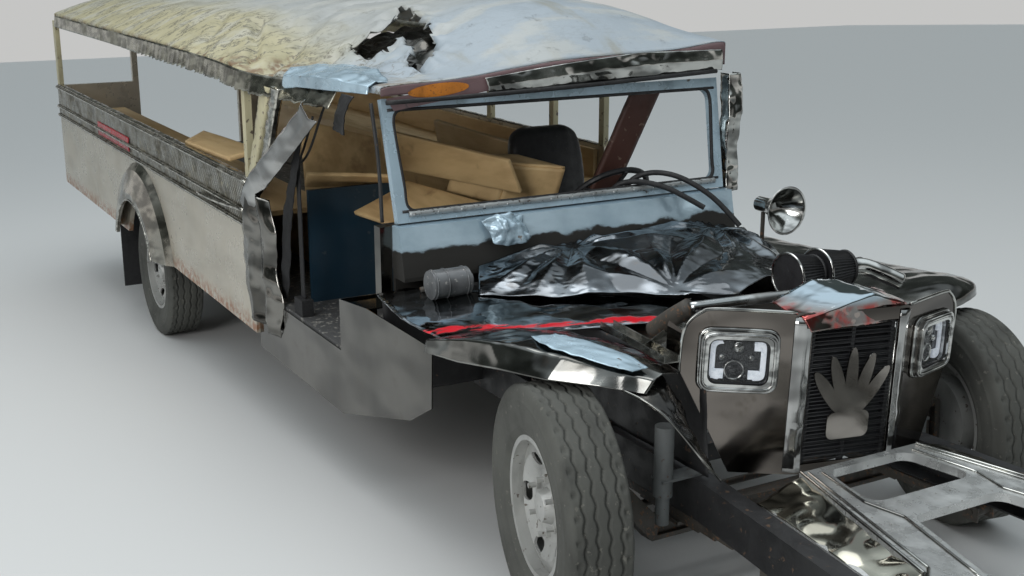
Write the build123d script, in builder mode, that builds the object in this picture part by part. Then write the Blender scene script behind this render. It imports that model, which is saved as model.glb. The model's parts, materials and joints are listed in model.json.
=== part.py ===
from build123d import *
import math
import os

os.makedirs("parts", exist_ok=True)

# A wrecked passenger jeepney, as it stands after a frontal crash.
# The origin is on the ground, under the middle of the whole vehicle.
# +X points forward, +Y to the vehicle's left and +Z up.
# Everything that the springs carry is drawn in a body frame, which has its origin on the
# ground under the front axle and is pitched nose down by RAKE.

# Stance and running gear.
FRONT_AXLE_X = 2822.0
WHEELBASE = 4400.0
RAKE = 3.4
KINGPIN_Y = 650.0
SCRUB = 150.0
STEER = -11.0
TYRE_R = 370.0
TYRE_W = 200.0
RIM_R = 206.0
RIM_W = 150.0

# Chassis frame.
RAIL_Y = 400.0
RAIL_W = 65.0
RAIL_H = 130.0
RAIL_WALL = 6.0
RAIL_TOP = 440.0
FRAME_REAR = -6500.0
HORN_ROOT = 150.0
HORN_TIP = 900.0
HORN_SPREAD = 80.0

# Passenger body.
BODY_REAR = -6690.0
SIDE_Y = 930.0
WALL = 25.0
SKIRT_Z = 280.0
FLOOR_Z = 480.0
FLOOR_T = 40.0
BAND_Z = 755.0
BELT_Z = 975.0
RAIL_Z = 1385.0
B_POST_X = -2420.0
DOORWAY_HALF = 370.0
ARCH_R = 430.0
FLARE_R = 640.0
FLARE_OUT = 72.0
SHEET = 4.0

# Cab front.
FIREWALL_X = -1290.0
COWL_X = -1190.0
COWL_LOW = 790.0
COWL_TOP = 970.0
COWL_HALF = 760.0
SILL_Z = 470.0
SCREEN_RISE = 455.0
SCREEN_LEAN = 12.0
SCREEN_BAR = 42.0
SCREEN_T = 32.0

# Nose.
NOSE_X = 136.0
NOSE_YAW = -7.0
NOSE_ROLL = -2.8
NOSE_DEPTH = 150.0
NOSE_TOP = 935.0
NOSE_LOW = 438.0
PANEL_HALF = 495.0
RIDGE_HALF = 200.0
MESH_HALF = 152.0
LAMP_Y = 345.0
LAMP_Z = 785.0
LAMP_W = 222.0
LAMP_H = 180.0
DECK_Z = 500.0
DECK_T = 26.0

# The axles and the body stand on the tyres, so all of it rises if the tyres grow.
AXLE_H = 370.0
LIFT = TYRE_R - AXLE_H
BODY = Plane(origin=(FRONT_AXLE_X, 0, LIFT)).rotated((0, RAKE, 0))
BODY_UP = Axis(BODY.origin, BODY.z_dir)
NOSE = BODY.offset(0)
NOSE.origin = BODY.from_local_coords((NOSE_X, 0, 0))
NOSE = NOSE.rotated((NOSE_ROLL, 0, NOSE_YAW))


def spot(x, y, z, frame=BODY):
    """The point of the world at x, y, z of a frame."""
    return frame.from_local_coords(Vector(x, y, z))


def station(x, frame=BODY):
    """A cross-section at length x: across is +Y, up is the frame's +Z."""
    return Plane(origin=spot(x, 0, 0, frame), x_dir=frame.y_dir, z_dir=frame.x_dir)


def side(y, frame=BODY):
    """A side view at width y: across is forward, up is the frame's +Z, out is -Y."""
    return Plane(origin=spot(0, y, 0, frame), x_dir=frame.x_dir, z_dir=-frame.y_dir)


def level(z, frame=BODY):
    """A plan view at height z: across is forward, up is +Y."""
    return frame.offset(z)


def block(x, y, z, mode=Mode.ADD):
    """A box between two values along each axis of the frame that is being drawn in."""
    with Locations((sum(x) / 2, sum(y) / 2, sum(z) / 2)):
        Box(x[1] - x[0], y[1] - y[0], z[1] - z[0], mode=mode)


def rod(start, end, radius, frame=BODY):
    """A round bar from one point of a frame to another."""
    base = spot(*start, frame)
    run = spot(*end, frame) - base
    with BuildSketch(Plane(origin=base, z_dir=run)) as round_section:
        Circle(radius)
    extrude(round_section.sketch, amount=run.length)


def sheet(rows, thickness, frame=BODY):
    """A folded sheet through cross-sections, each a length x and its line of (y, z) points."""
    folds = []
    for x, line in rows:
        with BuildSketch(station(x, frame)) as fold:
            Polygon(*line, *[(y, z - thickness) for y, z in reversed(line)], align=None)
        folds.append(fold.sketch)
    loft(folds, ruled=True)


def save(name, label):
    """Label one piece and write its STEP file."""
    name.part.label = label
    export_step(name.part, f"parts/{label}.step")


# Chassis frame: two channel rails that spread into horns under the nose, with cross members.
CROSS_H = 60.0
CROSS_W = 80.0
CROSS_X = (-6400, -5350, -3500, -2350, -120)
rail_path = [
    spot(FRAME_REAR, RAIL_Y, RAIL_TOP - RAIL_H / 2),
    spot(HORN_ROOT, RAIL_Y, RAIL_TOP - RAIL_H / 2),
    spot(HORN_TIP, RAIL_Y + HORN_SPREAD, RAIL_TOP - RAIL_H / 2),
]
with BuildPart(BODY) as chassis_frame:
    with BuildLine():
        path = Polyline(*rail_path)
    with BuildSketch(station(FRAME_REAR)):
        with Locations((RAIL_Y, RAIL_TOP - RAIL_H / 2)):
            Rectangle(RAIL_W, RAIL_H)
        with Locations((RAIL_Y - RAIL_WALL, RAIL_TOP - RAIL_H / 2)):
            Rectangle(RAIL_W, RAIL_H - 2 * RAIL_WALL, mode=Mode.SUBTRACT)
    sweep(path=path, transition=Transition.RIGHT)
    mirror(about=Plane.XZ)
    web = RAIL_Y + RAIL_W / 2 - RAIL_WALL
    top = RAIL_TOP - RAIL_WALL
    for x in CROSS_X:
        block((x - CROSS_W / 2, x + CROSS_W / 2), (-web, web), (top - CROSS_H, top))
save(chassis_frame, "chassis_frame")

# Engine, one plain block on four feet that stand on the rails.
ENGINE_X = (-900, -300)
ENGINE_HALF = 250.0
ENGINE_Z = (400, 700)
FOOT_T = 14.0
with BuildPart(BODY) as engine_block:
    block(ENGINE_X, (-ENGINE_HALF, ENGINE_HALF), ENGINE_Z)
    for x in (ENGINE_X[0] + 90, ENGINE_X[1] - 90):
        block((x - 45, x + 45), (-RAIL_Y - 20, RAIL_Y + 20), (RAIL_TOP, RAIL_TOP + FOOT_T))
    fillet(engine_block.edges().filter_by(Plane.XY).group_by(Axis.Z)[-1], 20)
save(engine_block, "engine_block")

# Gearbox and propeller shaft, which runs back to the axle's pinion.
BELL_X = -1150.0
GEARBOX_X = -1500.0
GEARBOX_W = 190.0
SHAFT_Z = 325.0
SHAFT_R = 38.0
PINION = (-WHEELBASE * math.cos(math.radians(RAKE)) + 262, 0, 128)
with BuildPart(BODY) as driveline:
    with BuildSketch(station(ENGINE_X[0])):
        with Locations((0, 430)):
            RectangleRounded(360, 300, 60)
    with BuildSketch(station(BELL_X)):
        with Locations((0, SHAFT_Z)):
            RectangleRounded(GEARBOX_W + 20, GEARBOX_W, 45)
    loft()
    with BuildSketch(station(BELL_X)):
        with Locations((0, SHAFT_Z)):
            RectangleRounded(GEARBOX_W, GEARBOX_W - 20, 40)
    extrude(amount=GEARBOX_X - BELL_X)
    rod((GEARBOX_X, 0, SHAFT_Z), PINION, SHAFT_R)
save(driveline, "driveline")

# Front axle: a forged I-beam with dropped middle, spring seats and a bored eye at each end.
AXLE = Plane(origin=(FRONT_AXLE_X, 0, LIFT))
BEAM_Z = 236.0
BEAM_H = 66.0
BEAM_T = 58.0
EYE_R = 34.0
EYE_Z = (315, 425)
PIN_R = 15.5
PIN_FIT = 0.5
PAD_Z = 272.0
with BuildPart(AXLE) as front_axle:
    with BuildSketch(station(-BEAM_T / 2, AXLE)):
        half = BEAM_H / 2
        end = KINGPIN_Y
        low = EYE_Z[0] + 12
        Polygon(
            (-end, low), (-end + 45, low), (-500, BEAM_Z - half), (500, BEAM_Z - half),
            (end - 45, low), (end, low), (end, AXLE_H + half), (end - 60, AXLE_H + half),
            (470, BEAM_Z + half), (-470, BEAM_Z + half), (-end + 60, AXLE_H + half), (-end, AXLE_H + half),
            align=None,
        )
    extrude(amount=BEAM_T)
    for x in (-BEAM_T / 2, BEAM_T / 2 - 18):
        block((x, x + 18), (-480, 480), (BEAM_Z - half + 14, BEAM_Z + half - 14), Mode.SUBTRACT)
    for y in (-KINGPIN_Y, KINGPIN_Y):
        with BuildSketch(Plane(origin=spot(0, y, EYE_Z[0], AXLE))):
            Circle(EYE_R)
        extrude(amount=EYE_Z[1] - EYE_Z[0])
    for y in (-KINGPIN_Y, KINGPIN_Y):
        with BuildSketch(Plane(origin=spot(0, y, EYE_Z[0] - 30, AXLE))):
            Circle(PIN_R + PIN_FIT)
        extrude(amount=EYE_Z[1] - EYE_Z[0] + 60, mode=Mode.SUBTRACT)

# Rear axle: tubes, banjo casing, pinion nose and a stub inside each wheel hub.
REAR = Plane(origin=(FRONT_AXLE_X - WHEELBASE, 0, LIFT))
WHEEL_Y = KINGPIN_Y + SCRUB
TUBE_R = 42.0
BANJO_R = 145.0
STUB_R = 27.5
STUB_FIT = 0.5
HUB_IN = -118.0
HUB_OUT = 42.0
TUBE_END = WHEEL_Y + HUB_IN - 4
with BuildPart(REAR) as rear_axle:
    rod((0, -TUBE_END, AXLE_H), (0, TUBE_END, AXLE_H), TUBE_R, REAR)
    rod((0, -WHEEL_Y - HUB_OUT, AXLE_H), (0, WHEEL_Y + HUB_OUT, AXLE_H), STUB_R, REAR)
    rod((-70, 0, AXLE_H), (95, 0, AXLE_H), BANJO_R, REAR)
    rod((95, 0, AXLE_H), (220, 0, AXLE_H), 62, REAR)

# Springs: flattened packs at the front, arched packs at the back, each in its hangers.
LEAF_T = 7.0
LEAF_N = 5
LEAF_W = 60.0
FRONT_SPRING_HALF = 470.0
REAR_SPRING_HALF = 650.0
REAR_SPRING_ARCH = 62.0
EYE_ROLL_R = 18.0
ARCH_RADIUS = (REAR_SPRING_HALF**2 + REAR_SPRING_ARCH**2) / (2 * REAR_SPRING_ARCH)
REAR_LEAF_T = 9.0
HANGER_T = 6.0
HANGER_W = 56.0
REAR_X = -WHEELBASE * math.cos(math.radians(RAKE)) - AXLE_H * math.sin(math.radians(RAKE))
REAR_Z = AXLE_H * math.cos(math.radians(RAKE)) - WHEELBASE * math.sin(math.radians(RAKE))
REAR_PAD_Z = REAR_Z + TUBE_R + 14


def hanger(x, y, z):
    """Two cheeks below the rail with the spring's pin between them."""
    for inner in (-LEAF_W / 2 - HANGER_T - 1, LEAF_W / 2 + 1):
        cheek = (y + inner, y + inner + HANGER_T)
        block((x - HANGER_W / 2, x + HANGER_W / 2), cheek, (z - EYE_ROLL_R - 8, RAIL_TOP - RAIL_H))
    reach = LEAF_W / 2 + HANGER_T + 5
    rod((x, y - reach, z), (x, y + reach, z), 9)
    rod((x, y - LEAF_W / 2, z), (x, y + LEAF_W / 2, z), EYE_ROLL_R)


with BuildPart(BODY) as leaf_springs:
    for n in range(LEAF_N):
        reach = FRONT_SPRING_HALF * (1 - 0.17 * n)
        high = PAD_Z + LEAF_T * (LEAF_N - n)
        block((-reach, reach), (RAIL_Y - LEAF_W / 2, RAIL_Y + LEAF_W / 2), (high - LEAF_T, high))
    for x in (-FRONT_SPRING_HALF, FRONT_SPRING_HALF):
        hanger(x, RAIL_Y, PAD_Z + LEAF_T * LEAF_N - EYE_ROLL_R)
    with BuildSketch(side(RAIL_Y + LEAF_W / 2)):
        main = REAR_PAD_Z + REAR_LEAF_T * LEAF_N
        for n in range(LEAF_N):
            centre = (REAR_X, main + ARCH_RADIUS)
            spread = math.degrees(math.asin(REAR_SPRING_HALF * (1 - 0.17 * n) / ARCH_RADIUS))
            inner = ARCH_RADIUS + REAR_LEAF_T * n
            with BuildLine():
                above = CenterArc(centre, inner, 270 - spread, 2 * spread)
                below = CenterArc(centre, inner + REAR_LEAF_T, 270 - spread, 2 * spread)
                Line(above @ 0, below @ 0)
                Line(above @ 1, below @ 1)
            make_face()
    extrude(amount=LEAF_W)
    for x in (REAR_X - REAR_SPRING_HALF, REAR_X + REAR_SPRING_HALF):
        hanger(x, RAIL_Y, main + REAR_SPRING_ARCH - 6)
    mirror(about=Plane.XZ)
save(leaf_springs, "leaf_springs")

# Axle seats are cut to the body's pitch, so the spring packs lie flat on them.
SEAT_W = 76.0
for axle, x, z, deep in ((front_axle, 0, PAD_Z, 12), (rear_axle, REAR_X, REAR_PAD_Z, 26)):
    with BuildPart() as seats:
        with BuildSketch(level(z - deep)):
            with Locations((x, -RAIL_Y), (x, RAIL_Y)):
                Rectangle(120, SEAT_W)
        extrude(amount=deep)
    axle.part = axle.part + seats.part
save(front_axle, "front_axle")
save(rear_axle, "rear_axle")

# Front shock absorbers, between the axle and a bracket on each rail.
SHOCK_Y = 520.0
SHOCK_X = 90.0
SHOCK_R = 29.0
SHOCK_Z = (300, 610)
with BuildPart(BODY) as shock_absorbers:
    rod((SHOCK_X, SHOCK_Y, SHOCK_Z[0] + 90), (SHOCK_X, SHOCK_Y, SHOCK_Z[1]), SHOCK_R)
    rod((SHOCK_X, SHOCK_Y, SHOCK_Z[0]), (SHOCK_X, SHOCK_Y, SHOCK_Z[0] + 90), SHOCK_R - 8)
    bracket = RAIL_Y + RAIL_W / 2
    block((SHOCK_X - 30, SHOCK_X + 30), (bracket - 40, SHOCK_Y + 22), (RAIL_TOP, RAIL_TOP + 8))
    mirror(about=Plane.XZ)
save(shock_absorbers, "shock_absorbers")

# Steering knuckles: fork, kingpin, spindle and steering arm, turned to the crashed lock.
EAR_T = 22.0
EAR_GAP = 1.0
WEB = (39.0, 57.0)
ARM_L = 150.0
ARM_W = 28.0
STUD_R = 9.0
STUD_LOW = 232.0
SPINDLE_END = 186.0
for turn, name in ((1, "left"), (-1, "right")):
    hub = Plane(origin=spot(0, turn * KINGPIN_Y, 0, AXLE)).rotated((0, 0, STEER))
    low = (EYE_Z[0] - EAR_GAP - EAR_T, EYE_Z[0] - EAR_GAP)
    high = (EYE_Z[1] + EAR_GAP, EYE_Z[1] + EAR_GAP + EAR_T)
    with BuildPart(hub) as knuckle:
        for ear in (low, high):
            rod((0, 0, ear[0]), (0, 0, ear[1]), EYE_R, hub)
            block((-30, 30), tuple(sorted((0, turn * WEB[1]))), ear)
        rod((0, 0, low[0]), (0, 0, high[1]), PIN_R, hub)
        block((-34, 34), tuple(sorted((turn * WEB[0], turn * WEB[1]))), (low[0], high[1]))
        rod((0, turn * WEB[0], AXLE_H), (0, turn * SPINDLE_END, AXLE_H), STUB_R, hub)
        block((-ARM_L - STUD_R - 8, 0), (-ARM_W / 2, ARM_W / 2), low)
        rod((-ARM_L, 0, STUD_LOW), (-ARM_L, 0, low[0]), STUD_R, hub)
    save(knuckle, f"knuckle_{name}")

# Track rod, parallel to the axle, with an eye round each arm's stud.
ROD_EYE_R = 20.0
ROD_EYE_Z = (236.0, 262.0)
ROD_R = 12.0
ROD_Z = sum(ROD_EYE_Z) / 2
SWING = math.radians(STEER)
ROD_X = -ARM_L * math.cos(SWING)
ROD_Y = -ARM_L * math.sin(SWING)
with BuildPart(AXLE) as track_rod:
    reach = KINGPIN_Y - ROD_EYE_R + 6
    rod((ROD_X, ROD_Y - reach, ROD_Z), (ROD_X, ROD_Y + reach, ROD_Z), ROD_R, AXLE)
    for y in (ROD_Y - KINGPIN_Y, ROD_Y + KINGPIN_Y):
        rod((ROD_X, y, ROD_EYE_Z[0]), (ROD_X, y, ROD_EYE_Z[1]), ROD_EYE_R, AXLE)
    for y in (ROD_Y - KINGPIN_Y, ROD_Y + KINGPIN_Y):
        with BuildSketch(Plane(origin=spot(ROD_X, y, ROD_EYE_Z[0] - 5, AXLE))):
            Circle(STUD_R + PIN_FIT)
        extrude(amount=60, mode=Mode.SUBTRACT)
save(track_rod, "track_rod")

# Wheels: steel rim and dished disc with oval holes, drum, hub and studs, and a plain tyre.
BEAD = RIM_W / 2 - 5
TREAD_HALF = 62.0
SHOULDER = 84.0
SEAT_R = RIM_R
RIM_T = 5.0
WELL = 20.0
LIP_R = RIM_R + 14
DISC_T = 8.0
DISC_FACE = 30.0
HUB_R = 58.0
HUB_BORE = STUB_R + STUB_FIT
DRUM_R = 150.0
DRUM = (-86.0, -26.0)
STUDS = 6
STUD_PCD = 170.0
WHEEL_STUD_R = 8.0
STUD_OUT = 36.0
NUT_ACROSS = 30.0
NUT_T = 13.0
OVALS = 5
OVAL_R = 142.0
OVAL_L = 62.0
OVAL_W = 40.0

TYRE_LINE = [
    (SEAT_R, -BEAD), (SEAT_R + 18, -BEAD - 2), (250, -94), (295, -TYRE_W / 2), (342, -95),
    (362, -SHOULDER), (TYRE_R, -TREAD_HALF),
]
RIM_LINE = [
    (LIP_R, -78), (LIP_R, -73), (SEAT_R, -72.6), (SEAT_R, -48), (SEAT_R - WELL, -38),
    (SEAT_R - WELL, -8), (SEAT_R, 4), (SEAT_R, 72.6), (LIP_R, 73), (LIP_R, 78),
    (SEAT_R - RIM_T, 77), (SEAT_R - RIM_T, 9), (SEAT_R - WELL - RIM_T, -5),
    (SEAT_R - WELL - RIM_T, -41), (SEAT_R - RIM_T, -77),
]
DISC_LINE = [
    (SEAT_R - RIM_T, 40), (160, 54), (108, DISC_FACE), (HUB_R - 2, DISC_FACE),
    (HUB_R - 2, DISC_FACE - DISC_T), (108, DISC_FACE - DISC_T), (160, 45), (SEAT_R - RIM_T, 31),
]
HUB_LINE = [
    (HUB_BORE, DRUM[0]), (DRUM_R, DRUM[0]), (DRUM_R, DRUM[1]), (HUB_R, DRUM[1]),
    (HUB_R, DISC_FACE - DISC_T), (44, 58), (0, 64), (0, 44), (HUB_BORE, 44),
]


def wheel_frame(turn, x, steer):
    """A wheel's frame: origin at its centre, +Z outboard along its spindle, +X upward."""
    pin = Plane(origin=(x, turn * KINGPIN_Y, 0)).rotated((0, 0, steer))
    centre = pin.from_local_coords((0, turn * SCRUB, TYRE_R))
    return Plane(origin=centre, x_dir=(0, 0, 1), z_dir=pin.y_dir * turn)


def ring(line, frame):
    """A ring turned about a wheel's spindle from a line of (radius, outboard) points."""
    plane = Plane(origin=frame.origin, x_dir=frame.x_dir, z_dir=frame.x_dir.cross(frame.z_dir))
    with BuildSketch(plane) as profile:
        Polygon(*line, align=None)
    revolve(profile.sketch, axis=Axis(frame.origin, frame.z_dir))


WHEELS = (
    ("front_left", 1, FRONT_AXLE_X, STEER),
    ("front_right", -1, FRONT_AXLE_X, STEER),
    ("rear_left", 1, FRONT_AXLE_X - WHEELBASE, 0),
    ("rear_right", -1, FRONT_AXLE_X - WHEELBASE, 0),
)
for place, turn, x, steer in WHEELS:
    frame = wheel_frame(turn, x, steer)
    with BuildPart(frame) as tyre:
        ring(TYRE_LINE + [(r, -out) for r, out in reversed(TYRE_LINE)], frame)
    save(tyre, f"tyre_{place}")
    with BuildPart(frame) as wheel:
        ring(RIM_LINE, frame)
        ring(DISC_LINE, frame)
        with BuildSketch(frame.offset(20)):
            with PolarLocations(OVAL_R, OVALS, start_angle=18):
                SlotOverall(OVAL_L, OVAL_W, rotation=90)
        extrude(amount=60, mode=Mode.SUBTRACT)
        ring(HUB_LINE, frame)
        with BuildSketch(frame.offset(DISC_FACE)):
            with PolarLocations(STUD_PCD / 2, STUDS):
                RegularPolygon(NUT_ACROSS / 2, 6)
        extrude(amount=NUT_T)
        with BuildSketch(frame.offset(DISC_FACE)):
            with PolarLocations(STUD_PCD / 2, STUDS):
                Circle(WHEEL_STUD_R)
        extrude(amount=STUD_OUT)
    save(wheel, f"wheel_{place}")

# Floor on cross bearers, cut out over the rear wheels, with a closed house over each wheel.
INSIDE = SIDE_Y - WALL
HOUSE_IN = 600.0
HOUSE_R = ARCH_R + 35
HOUSE_T = 4.0
HOUSE_Z = FLOOR_Z + 150
FLOOR_FRONT = FIREWALL_X
with BuildPart(BODY) as floor:
    block((BODY_REAR + 40, FLOOR_FRONT), (-INSIDE, INSIDE), (FLOOR_Z - FLOOR_T, FLOOR_Z))
    for y in ((-INSIDE, -HOUSE_IN), (HOUSE_IN, INSIDE)):
        block((REAR_X - HOUSE_R, REAR_X + HOUSE_R), y, (FLOOR_Z - FLOOR_T, FLOOR_Z), Mode.SUBTRACT)
    for turn in (1, -1):
        across = tuple(sorted((turn * HOUSE_IN, turn * INSIDE)))
        hollow = tuple(sorted((turn * (HOUSE_IN + HOUSE_T), turn * INSIDE)))
        block((REAR_X - HOUSE_R, REAR_X + HOUSE_R), across, (FLOOR_Z - FLOOR_T, HOUSE_Z))
        block(
            (REAR_X - HOUSE_R + HOUSE_T, REAR_X + HOUSE_R - HOUSE_T), hollow,
            (FLOOR_Z - FLOOR_T, HOUSE_Z - HOUSE_T), Mode.SUBTRACT,
        )
save(floor, "floor")

# Body sides: hollow-pressed lower wall with the arch cut out, and the posts above the belt.
POST_W = 45.0
POST_T = 30.0
CANT_H = 40.0
REAR_POST_W = 70.0
FAR_POSTS = (-5900, -5150, -4400, -3650, -2950)
with BuildPart(BODY) as side_walls:
    block((BODY_REAR, B_POST_X), (INSIDE, SIDE_Y), (SKIRT_Z, BELT_Z))
    with BuildSketch(side(SIDE_Y + 5)):
        with Locations((REAR_X, REAR_Z)):
            Circle(ARCH_R)
    extrude(amount=WALL + 10, mode=Mode.SUBTRACT)
    mirror(about=Plane.XZ)
save(side_walls, "side_walls")

with BuildPart(BODY) as roof_frame:
    for turn in (1, -1):
        inner = tuple(sorted((turn * (SIDE_Y - POST_T), turn * SIDE_Y)))
        posts = [(BODY_REAR, REAR_POST_W), (B_POST_X - POST_W, POST_W)]
        if turn > 0:
            posts += [(x, POST_W) for x in FAR_POSTS]
        for x, wide in posts:
            block((x, x + wide), inner, (BELT_Z, RAIL_Z))
        block((BODY_REAR, B_POST_X), inner, (RAIL_Z, RAIL_Z + CANT_H))
    block((BODY_REAR, BODY_REAR + REAR_POST_W), (-SIDE_Y, SIDE_Y), (RAIL_Z, RAIL_Z + CANT_H))
save(roof_frame, "roof_frame")

with BuildPart(BODY) as belt_bands:
    block((BODY_REAR, B_POST_X), (SIDE_Y, SIDE_Y + SHEET), (BAND_Z, BELT_Z))
    for z in (BAND_Z, BAND_Z + 62, BELT_Z - 24):
        block((BODY_REAR, B_POST_X), (SIDE_Y + SHEET, SIDE_Y + SHEET + 9), (z, z + 22))
    mirror(about=Plane.XZ)
save(belt_bands, "belt_bands")

# Rear arch flares, sloped bands that stand out from the sides over the tyres.
LIP_TURN = 18.0
FLARE_LINE = [
    (FLARE_R, SIDE_Y + 0.3), (FLARE_R - 40, SIDE_Y + 34), (ARCH_R + 40, SIDE_Y + FLARE_OUT),
    (ARCH_R, SIDE_Y + FLARE_OUT), (ARCH_R, SIDE_Y + FLARE_OUT - LIP_TURN),
    (ARCH_R + 5, SIDE_Y + FLARE_OUT - LIP_TURN), (ARCH_R + 5, SIDE_Y + FLARE_OUT - 5),
    (ARCH_R + 40, SIDE_Y + FLARE_OUT - 5), (FLARE_R - 44, SIDE_Y + 29), (FLARE_R - 10, SIDE_Y + 0.3),
]
with BuildPart(BODY) as arch_flares:
    with BuildSketch(Plane(origin=spot(REAR_X, 0, REAR_Z), x_dir=BODY.x_dir, z_dir=BODY.z_dir)) as band:
        Polygon(*FLARE_LINE, align=None)
    revolve(band.sketch, axis=Axis(spot(REAR_X, 0, REAR_Z), Vector(0, -1, 0)), revolution_arc=180)
    split(bisect_by=level(SKIRT_Z), keep=Keep.TOP)
    mirror(about=Plane.XZ)
save(arch_flares, "arch_flares")

# Mud flaps behind the rear wheels.
FLAP_GAP = 376.0
FLAP_X = REAR_X - TYRE_R - FLAP_GAP
FLAP_Y = (690, 904)
FLAP_LOW = -150.0
with BuildPart(BODY) as mud_flaps:
    block((FLAP_X - 8, FLAP_X), FLAP_Y, (FLAP_LOW, FLOOR_Z - FLOOR_T))
    mirror(about=Plane.XZ)
save(mud_flaps, "mud_flaps")

# Rear end: a panel each side of the open doorway, posts above them and the boarding step.
REAR_T = 40.0
STEP_OUT = 230.0
STEP_Z = (300, 345)
with BuildPart(BODY) as rear_panels:
    block((BODY_REAR, BODY_REAR + REAR_T), (DOORWAY_HALF, INSIDE), (SKIRT_Z, BELT_Z))
    block((BODY_REAR, BODY_REAR + REAR_T), (DOORWAY_HALF, DOORWAY_HALF + 40), (BELT_Z, RAIL_Z))
    mirror(about=Plane.XZ)
save(rear_panels, "rear_panels")

with BuildPart(BODY) as rear_step:
    block((BODY_REAR - STEP_OUT, BODY_REAR), (-800, 800), STEP_Z)
    block((BODY_REAR - STEP_OUT + 30, BODY_REAR - 30), (-770, 770), (STEP_Z[0], STEP_Z[1] - 5), Mode.SUBTRACT)
    fillet(rear_step.edges().filter_by(BODY_UP).group_by(Axis.X)[0], 60)
save(rear_step, "rear_step")

# Roof: one crowned shell, crushed down over the right front corner.
ROOF_T = 20.0
ROOF_ROWS = (
    ("length", "right_half", "right_edge", "right_mid", "crown", "left_mid", "left_edge", "left_half"),
    (-6690, 880, 1450, 1510, 1530, 1510, 1450, 880),
    (-6450, 950, 1465, 1580, 1615, 1580, 1465, 950),
    (-5200, 950, 1465, 1605, 1660, 1615, 1465, 950),
    (-3600, 950, 1465, 1625, 1690, 1650, 1470, 950),
    (-2800, 950, 1460, 1590, 1700, 1670, 1480, 950),
    (-2300, 940, 1442, 1515, 1715, 1700, 1500, 950),
    (-1900, 870, 1442, 1500, 1710, 1690, 1530, 910),
    (-1600, 820, 1443, 1490, 1655, 1640, 1550, 850),
    (-1340, 770, 1442, 1478, 1530, 1548, 1545, 780),
)
MID_SHARE = 0.62


def roof_line(row):
    """The roof's line across one row of the table, from right edge to left edge."""
    x, right, z_right, z_mid_right, z_crown, z_mid_left, z_left, left = row
    return [
        (-right, z_right), (-right * MID_SHARE, z_mid_right), (0, z_crown),
        (left * MID_SHARE, z_mid_left), (left, z_left),
    ]


with BuildPart(BODY) as roof_shell:
    sheet([(row[0], roof_line(row)) for row in ROOF_ROWS[1:]], ROOF_T)
save(roof_shell, "roof_shell")

# Drip valances hang from the roof's edges.
VALANCE_H = 72.0
with BuildPart(BODY) as roof_valances:
    for turn in (1, -1):
        edges = [(row[0], row[7 if turn > 0 else 1], row[6 if turn > 0 else 2]) for row in ROOF_ROWS[2:8]]
        strips = []
        for x, half, z in edges:
            with BuildSketch(station(x)) as strip:
                Polygon(
                    (turn * (half + 0.3), z), (turn * (half + 4.3), z),
                    (turn * (half + 14), z - VALANCE_H), (turn * (half + 10), z - VALANCE_H), align=None,
                )
            strips.append(strip.sketch)
        loft(strips, ruled=True)
save(roof_valances, "roof_valances")

# Front: the blank sign board on the roof's edge and the windshield frame below it.
SCREEN_FOOT = (-1268.0, COWL_TOP + 7)
ROOF_FRONT = ROOF_ROWS[-1][0]
SIGN_T = 6.0
SIGN_TOP = [(-750, 1425), (-410, 1462), (-190, 1508), (170, 1532), (755, 1542)]
SIGN_LOW = [(755, 1466), (170, 1468), (-190, 1450), (-720, 1380)]
with BuildPart(BODY) as sign_board:
    with BuildSketch(station(ROOF_FRONT + 0.3)):
        Polygon(*SIGN_TOP, *SIGN_LOW, align=None)
    extrude(amount=SIGN_T)
save(sign_board, "sign_board")

SCREEN = Plane(origin=spot(SCREEN_FOOT[0], 0, SCREEN_FOOT[1]), x_dir=BODY.y_dir, z_dir=BODY.x_dir)
SCREEN = SCREEN.rotated((0, -SCREEN_LEAN, 0))
SCREEN_HALF = (745.0, 760.0)
with BuildPart(SCREEN) as windshield_frame:
    with BuildSketch(SCREEN):
        low, wide = SCREEN_HALF
        Polygon((-low, 0), (low, 0), (wide, SCREEN_RISE), (-wide, SCREEN_RISE), align=None)
        with BuildSketch(mode=Mode.PRIVATE) as opening:
            bar = SCREEN_BAR
            Polygon(
                (-low + bar, bar), (low - bar, bar), (wide - bar, SCREEN_RISE - bar),
                (-wide + bar, SCREEN_RISE - bar), align=None,
            )
            fillet(opening.vertices(), 45)
        add(opening.sketch, mode=Mode.SUBTRACT)
    extrude(amount=-SCREEN_T)
save(windshield_frame, "windshield_frame")

# Cowl: the pale plenum under the windshield and the firewall below it.
with BuildPart(BODY) as cowl:
    with BuildSketch(side(-COWL_HALF)):
        Polygon(
            (FIREWALL_X, COWL_TOP - 0.3), (FIREWALL_X + 60, COWL_TOP - 0.3), (COWL_X, COWL_LOW),
            (COWL_X, COWL_LOW - 15), (FIREWALL_X, COWL_LOW - 15), align=None,
        )
    extrude(amount=-2 * COWL_HALF)
    block((FIREWALL_X, FIREWALL_X + 20), (-COWL_HALF, COWL_HALF), (FLOOR_Z - FLOOR_T, COWL_LOW - 15))
save(cowl, "cowl")

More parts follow.
